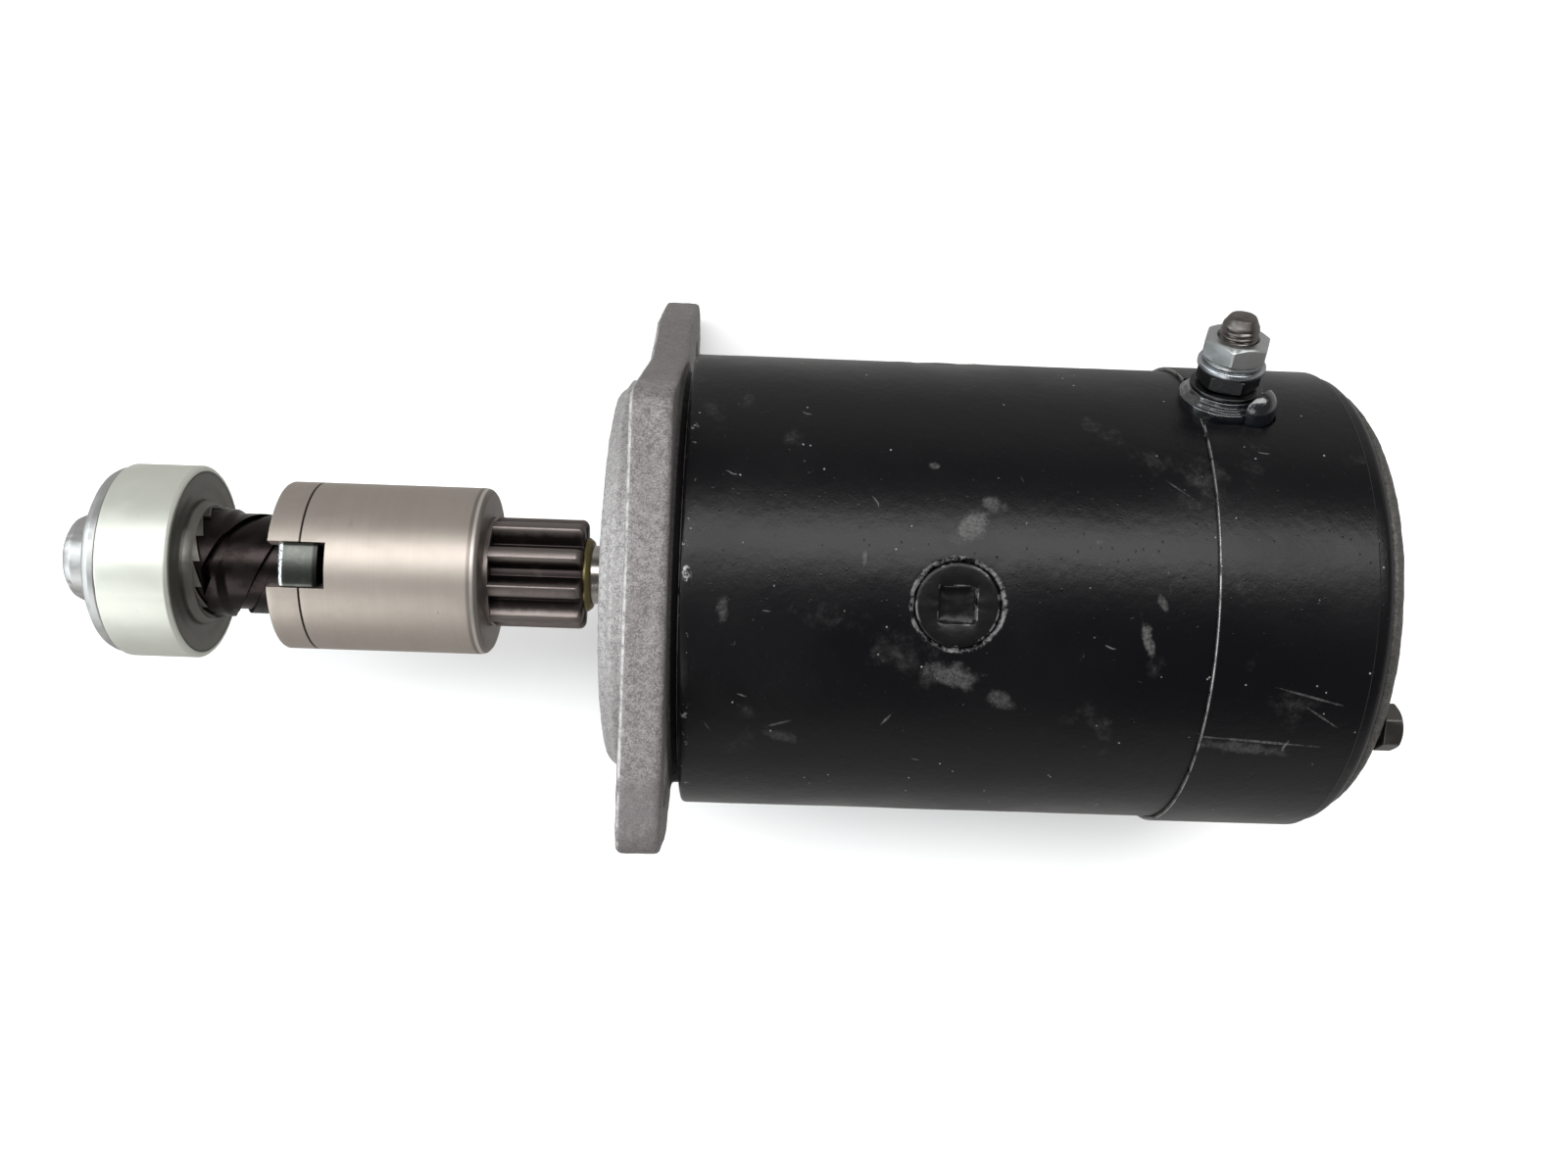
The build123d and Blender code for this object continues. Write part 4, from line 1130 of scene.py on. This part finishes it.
def barrel():
    r = outer("barrel")
    x0, x1 = BARREL_START, span("barrel")[1]
    slot_end = -69.2
    wall_rows = 14
    rows = [(-80.8, 17.4, 15.5), (x0 - 0.02, 17.4, 15.5), (x0, r - 0.28, 15.5)]
    rows += [(x0 + 0.08, r - 0.1, 15.5), (x0 + 0.28, r, 15.5), (x0 + 1.6, r, 15.5)]
    rows += [(x0 + 3.2, r, 15.5)]
    for k in range(wall_rows + 1):
        rows.append((slot_end + (x1 - 3.5 - slot_end) * k / wall_rows, r, 15.5))
    for back, cut in ((1.9, 0), (1.35, 0.06), (0.85, 0.26), (0.42, 0.6), (0.12, 0.98), (0, 1.5)):
        rows.append((x1 - back, r - cut, 12.8))
    slotted_shell("barrel_tube", "barrel", rows, slot_end)

    x0, x1 = span("barrel_ring")
    rows = [(x0, r - 0.45, 16.8), (x0 + 0.12, r - 0.16, 16.45), (x0 + 0.45, r, 16.2)]
    rows += [(x0 + 1.6, r, 16.2), (-80.1, r, 17.45), (-78.0, r, 17.45)]
    rows += [(x1 - 0.3, r, 17.45), (x1 - 0.08, r - 0.1, 17.45), (x1, r - 0.28, 17.45)]
    slotted_shell("barrel_end_ring", "barrel_ring", rows, math.inf)


def control_nut():
    """Nut whose lug shows in the slot of the barrel."""
    x0, x1 = span("control_nut")
    top, foot, half = outer("control_nut"), 14.4, 4.9
    n_x, n_y = 14, 26
    bm = bmesh.new()
    ring = ((x0, 13.2, 0.2), (x0, 15.2, 0.3), (x1, 15.2, 0.3), (x1, 11.95, 0.2))
    lathe_into(bm, ring + ((-75.4, 11.95), (-75.5, 13.2)))
    grid = []
    for i in range(n_x + 1):
        x = x0 + (x1 - x0) * i / n_x
        row = []
        for k in range(n_y + 1):
            y = -half + 2 * half * k / n_y
            left = max(0.0, 1.1 - (x - x0)) / 1.1
            right = max(0.0, 0.7 - (x1 - x)) / 0.7
            side = max(0.0, 0.5 - (half - abs(y))) / 0.5
            drop = 0.75 * left**2 + 0.28 * right**2 + 0.2 * side**2
            row.append((x, -y, math.sqrt(top * top - y * y) - drop))
        grid.append(add_verts(bm, row))
    low = [add_verts(bm, [(v.co.x, v.co.y, foot) for v in row]) for row in grid]
    for i in range(n_x):
        for k in range(n_y):
            bm.faces.new((grid[i][k], grid[i + 1][k], grid[i + 1][k + 1], grid[i][k + 1]))
            bm.faces.new((low[i][k + 1], low[i + 1][k + 1], low[i + 1][k], low[i][k]))
    edge = [(0, k) for k in range(n_y)] + [(i, n_y) for i in range(n_x)]
    edge += [(n_x, n_y - k) for k in range(n_y)] + [(n_x - i, 0) for i in range(n_x)]
    loft(bm, [[grid[i][k] for i, k in edge], [low[i][k] for i, k in edge]])
    add_object("control_nut_lug", bm, "control_nut", "lug_zinc", 40)


def pinion():
    """Nine teeth with rounded ends, and the disc that closes the barrel. Its bush is inside."""
    teeth, tip_r, root_r, bore, nose = 9, 12.95, 8.8, 7.9, 1.5
    back, disc_x, face_x = -41.5, -39.0, -34.4
    x1 = span("pinion")[1]
    pitch = 360 / teeth
    # Degrees from the tooth's middle, radius and corner radius.
    flank = [(17.2, root_r + 0.02, 0), (14.0, root_r, 0.9), (10.4, 10.9, 0), (8.2, 12.1, 0)]
    flank += [(5.6, tip_r, 0.75)]
    tooth = [(-a, r, c) for a, r, c in flank] + [(0, tip_r + 0.03, 0)] + flank[::-1]
    outline = []
    for i in range(teeth):
        middle = 90 + pitch * (i + 0.5)
        outline += [(*around(r, math.radians(middle + a)), corner) for a, r, corner in tooth]
    points = fillet_points(outline, True)
    rows = [(x, 0.0) for x in (face_x - 0.2, face_x + 2, face_x + 6, face_x + 11, x1 - 3.0)]
    for k in range(9):
        cos, sin = around(1, math.radians(90 * k / 8))
        rows.append((x1 - nose + nose * sin, nose * (1 - cos)))
    bm = bmesh.new()
    rings = []
    for x, shrink in rows:
        ring = []
        for p in points:
            share = share_of(p.length, root_r, tip_r)
            angle = math.atan2(p.y, p.x)
            aside = (math.degrees(angle) - 90) % pitch - pitch / 2
            angle -= math.radians(aside) * share * shrink * 0.16
            ring.append((x, *around(p.length - shrink * (0.25 + 0.75 * share), angle)))
        rings.append(add_verts(bm, ring))
    rings.append(ring_like(bm, x1, bore, rings[-1]))
    loft(bm, rings + [ring_like(bm, back, bore, rings[0])])
    disc = ((back, bore), (back, 15.4, 0.3), (disc_x, 15.4), (disc_x, 12.7), (face_x, 12.7, 0.4))
    lathe_into(bm, disc + ((face_x, 8.0),), closed=False)
    add_object("pinion_teeth", bm, "pinion", "pinion_steel", 38)

    start, end = span("pinion_bush")
    collar = ((start, 6.95), (start, bore), (x1, bore), (x1 + 0.02, 8.7, 0.15), (x1 + 0.6, 8.7, 0.3))
    collar += ((end - 0.3, bore, 0.3), (end - 0.3, 6.95, 0.15))
    lathe("pinion_bush_collar", collar, "pinion_bush")


def restraining_spring():
    """The wound spring inside the barrel, built at one length; the real one shortens as the drive travels."""
    wire, turns, dead, sides, per_turn = 0.6, 7, 0.6, 12, 48
    radius = outer("restraining_spring") - wire
    first, last = span("restraining_spring")
    section = [around(wire, TURN * k / sides) for k in range(sides)]
    bm = bmesh.new()
    rings = []
    for i in range(turns * per_turn + 1):
        turn = i / per_turn
        x = first + wire + (last - first - 2 * wire) * share_of(turn, dead, turns - dead)
        ring = [(x + along, *around(radius + out, TURN * turn)) for out, along in section]
        rings.append(add_verts(bm, ring))
    loft(bm, rings, ends=True)
    spring = add_object("restraining_coil", bm, "restraining_spring", smooth_angle=60)
    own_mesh(spring)


def hidden_nodes():
    """The rest keeps the CAD's form with its edges broken."""
    shown = set()
    for piece in bpy.data.objects:
        shown.update(piece.get("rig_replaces", []))
    for name, node in nodes.items():
        if name not in shown:
            soften(node, 0.25)


# ---------------------------------------------------------------- stage, light and camera (in metres)
def stage():
    """Pale floor under the lowest point of the motor."""
    half, z = 4.0, cad_box[0].z - 0.0002
    corners = [(-half, -half, z), (half, -half, z), (half, half, z), (-half, half, z)]
    mesh = bpy.data.meshes.new("floor")
    mesh.from_pydata(corners, [], [(0, 1, 2, 3)])
    floor = bpy.data.objects.new("floor", mesh)
    floor.visible_glossy = False
    scene.collection.objects.link(floor)
    material = bpy.data.materials.new("floor")
    material.use_nodes = True
    inputs = material.node_tree.nodes["Principled BSDF"].inputs
    feed(inputs["Base Color"], (0.86, 0.86, 0.86))
    feed(inputs["Roughness"], 0.9)
    feed(inputs["Specular IOR Level"], 0.1)
    mesh.materials.append(material)


def area_light(name, place, aim, size_x, size_y, power, colour=(1, 1, 1)):
    data = bpy.data.lights.new(name, "AREA")
    data.shape = "RECTANGLE"
    data.size, data.size_y = size_x, size_y
    data.energy = power
    data.color = colour
    light = bpy.data.objects.new(name, data)
    light.location = place
    light.rotation_euler = (Vector(aim) - Vector(place)).to_track_quat("-Z", "Y").to_euler()
    scene.collection.objects.link(light)


def lights():
    """A large softbox above and behind the motor, with fill that only brightens matt surfaces."""
    middle = (0.03, 0, 0)
    area_light("key", (0.0, 0.37, 1.03), middle, 1.7, 0.46, 12.0)
    area_light("window", (-0.90, 0.15, 0.45), middle, 0.35, 0.6, 4.5, (0.88, 0.97, 1.0))
    area_light("side", (-0.85, -0.35, 0.22), (0.12, 0.05, 0.04), 0.5, 0.4, 2.2, (0.90, 0.97, 1.0))
    area_light("card", (-0.42, -0.62, 0.45), (-0.02, 0, 0), 0.45, 0.6, 1.8)
    data = bpy.data.lights.new("fill", "SUN")
    data.energy = 2.5
    data.angle = math.radians(110)
    fill = bpy.data.objects.new("fill", data)
    fill.location = (0, -0.3, 1)
    fill.rotation_euler = (math.radians(-8), 0, 0)
    fill.visible_glossy = False
    scene.collection.objects.link(fill)


def world():
    """A warm white studio that is darker below the horizon and towards the top."""
    studio = scene.world = bpy.data.worlds.new("studio")
    studio.use_nodes = True
    tree = studio.node_tree
    background = tree.nodes["Background"].inputs
    parts = tree.nodes.new("ShaderNodeSeparateXYZ")
    tree.links.new(tree.nodes.new("ShaderNodeTexCoord").outputs["Generated"], parts.inputs[0])

    def level(*limits):
        """From the first height's value to the second's, given as two heights and two values."""
        node = tree.nodes.new("ShaderNodeMapRange")
        tree.links.new(parts.outputs["Z"], node.inputs["Value"])
        for socket, number in zip(list(node.inputs)[1:5], limits):
            feed(socket, number)
        return Signal(tree, node.outputs[0])

    feed(background["Color"], (1, 0.985, 0.97))
    feed(background["Strength"], level(-0.2, 0.0, 0.50, 0.58) * level(0.16, 0.5, 1.0, 0.22))


def camera():
    """The photograph's view: nearly square on to the shaft, close in, a little rolled."""
    place = (0.0263, 0.0, 0.3276)
    forward = Vector((0.0210, -0.0049, -0.9998)).normalized()
    right = forward.cross(Vector((-0.0336, 0.9994, -0.0056))).normalized()
    axes = zip(right, right.cross(forward), -forward, place)
    data = bpy.data.cameras.new("camera")
    data.sensor_width = 36
    data.lens = 31.77
    data.clip_start = 0.01
    data.clip_end = 20
    eye = bpy.data.objects.new("camera", data)
    scene.collection.objects.link(eye)
    eye.matrix_world = Matrix((*axes, (0, 0, 0, 1)))
    scene.camera = eye


cast_skin("drive_end_bracket", 0.75, 0.10, 1.0)
cast_skin("commutator_end_bracket", 0.8, 0.12, 5.0)
yoke()
pole_screws()
terminal()
through_bolts()
drive_cup()
end_cap()
ratchet_collar()
screw_sleeve()
barrel()
control_nut()
pinion()
restraining_spring()
hidden_nodes()
stage()
lights()
world()
camera()
scene.view_settings.view_transform = "Standard"
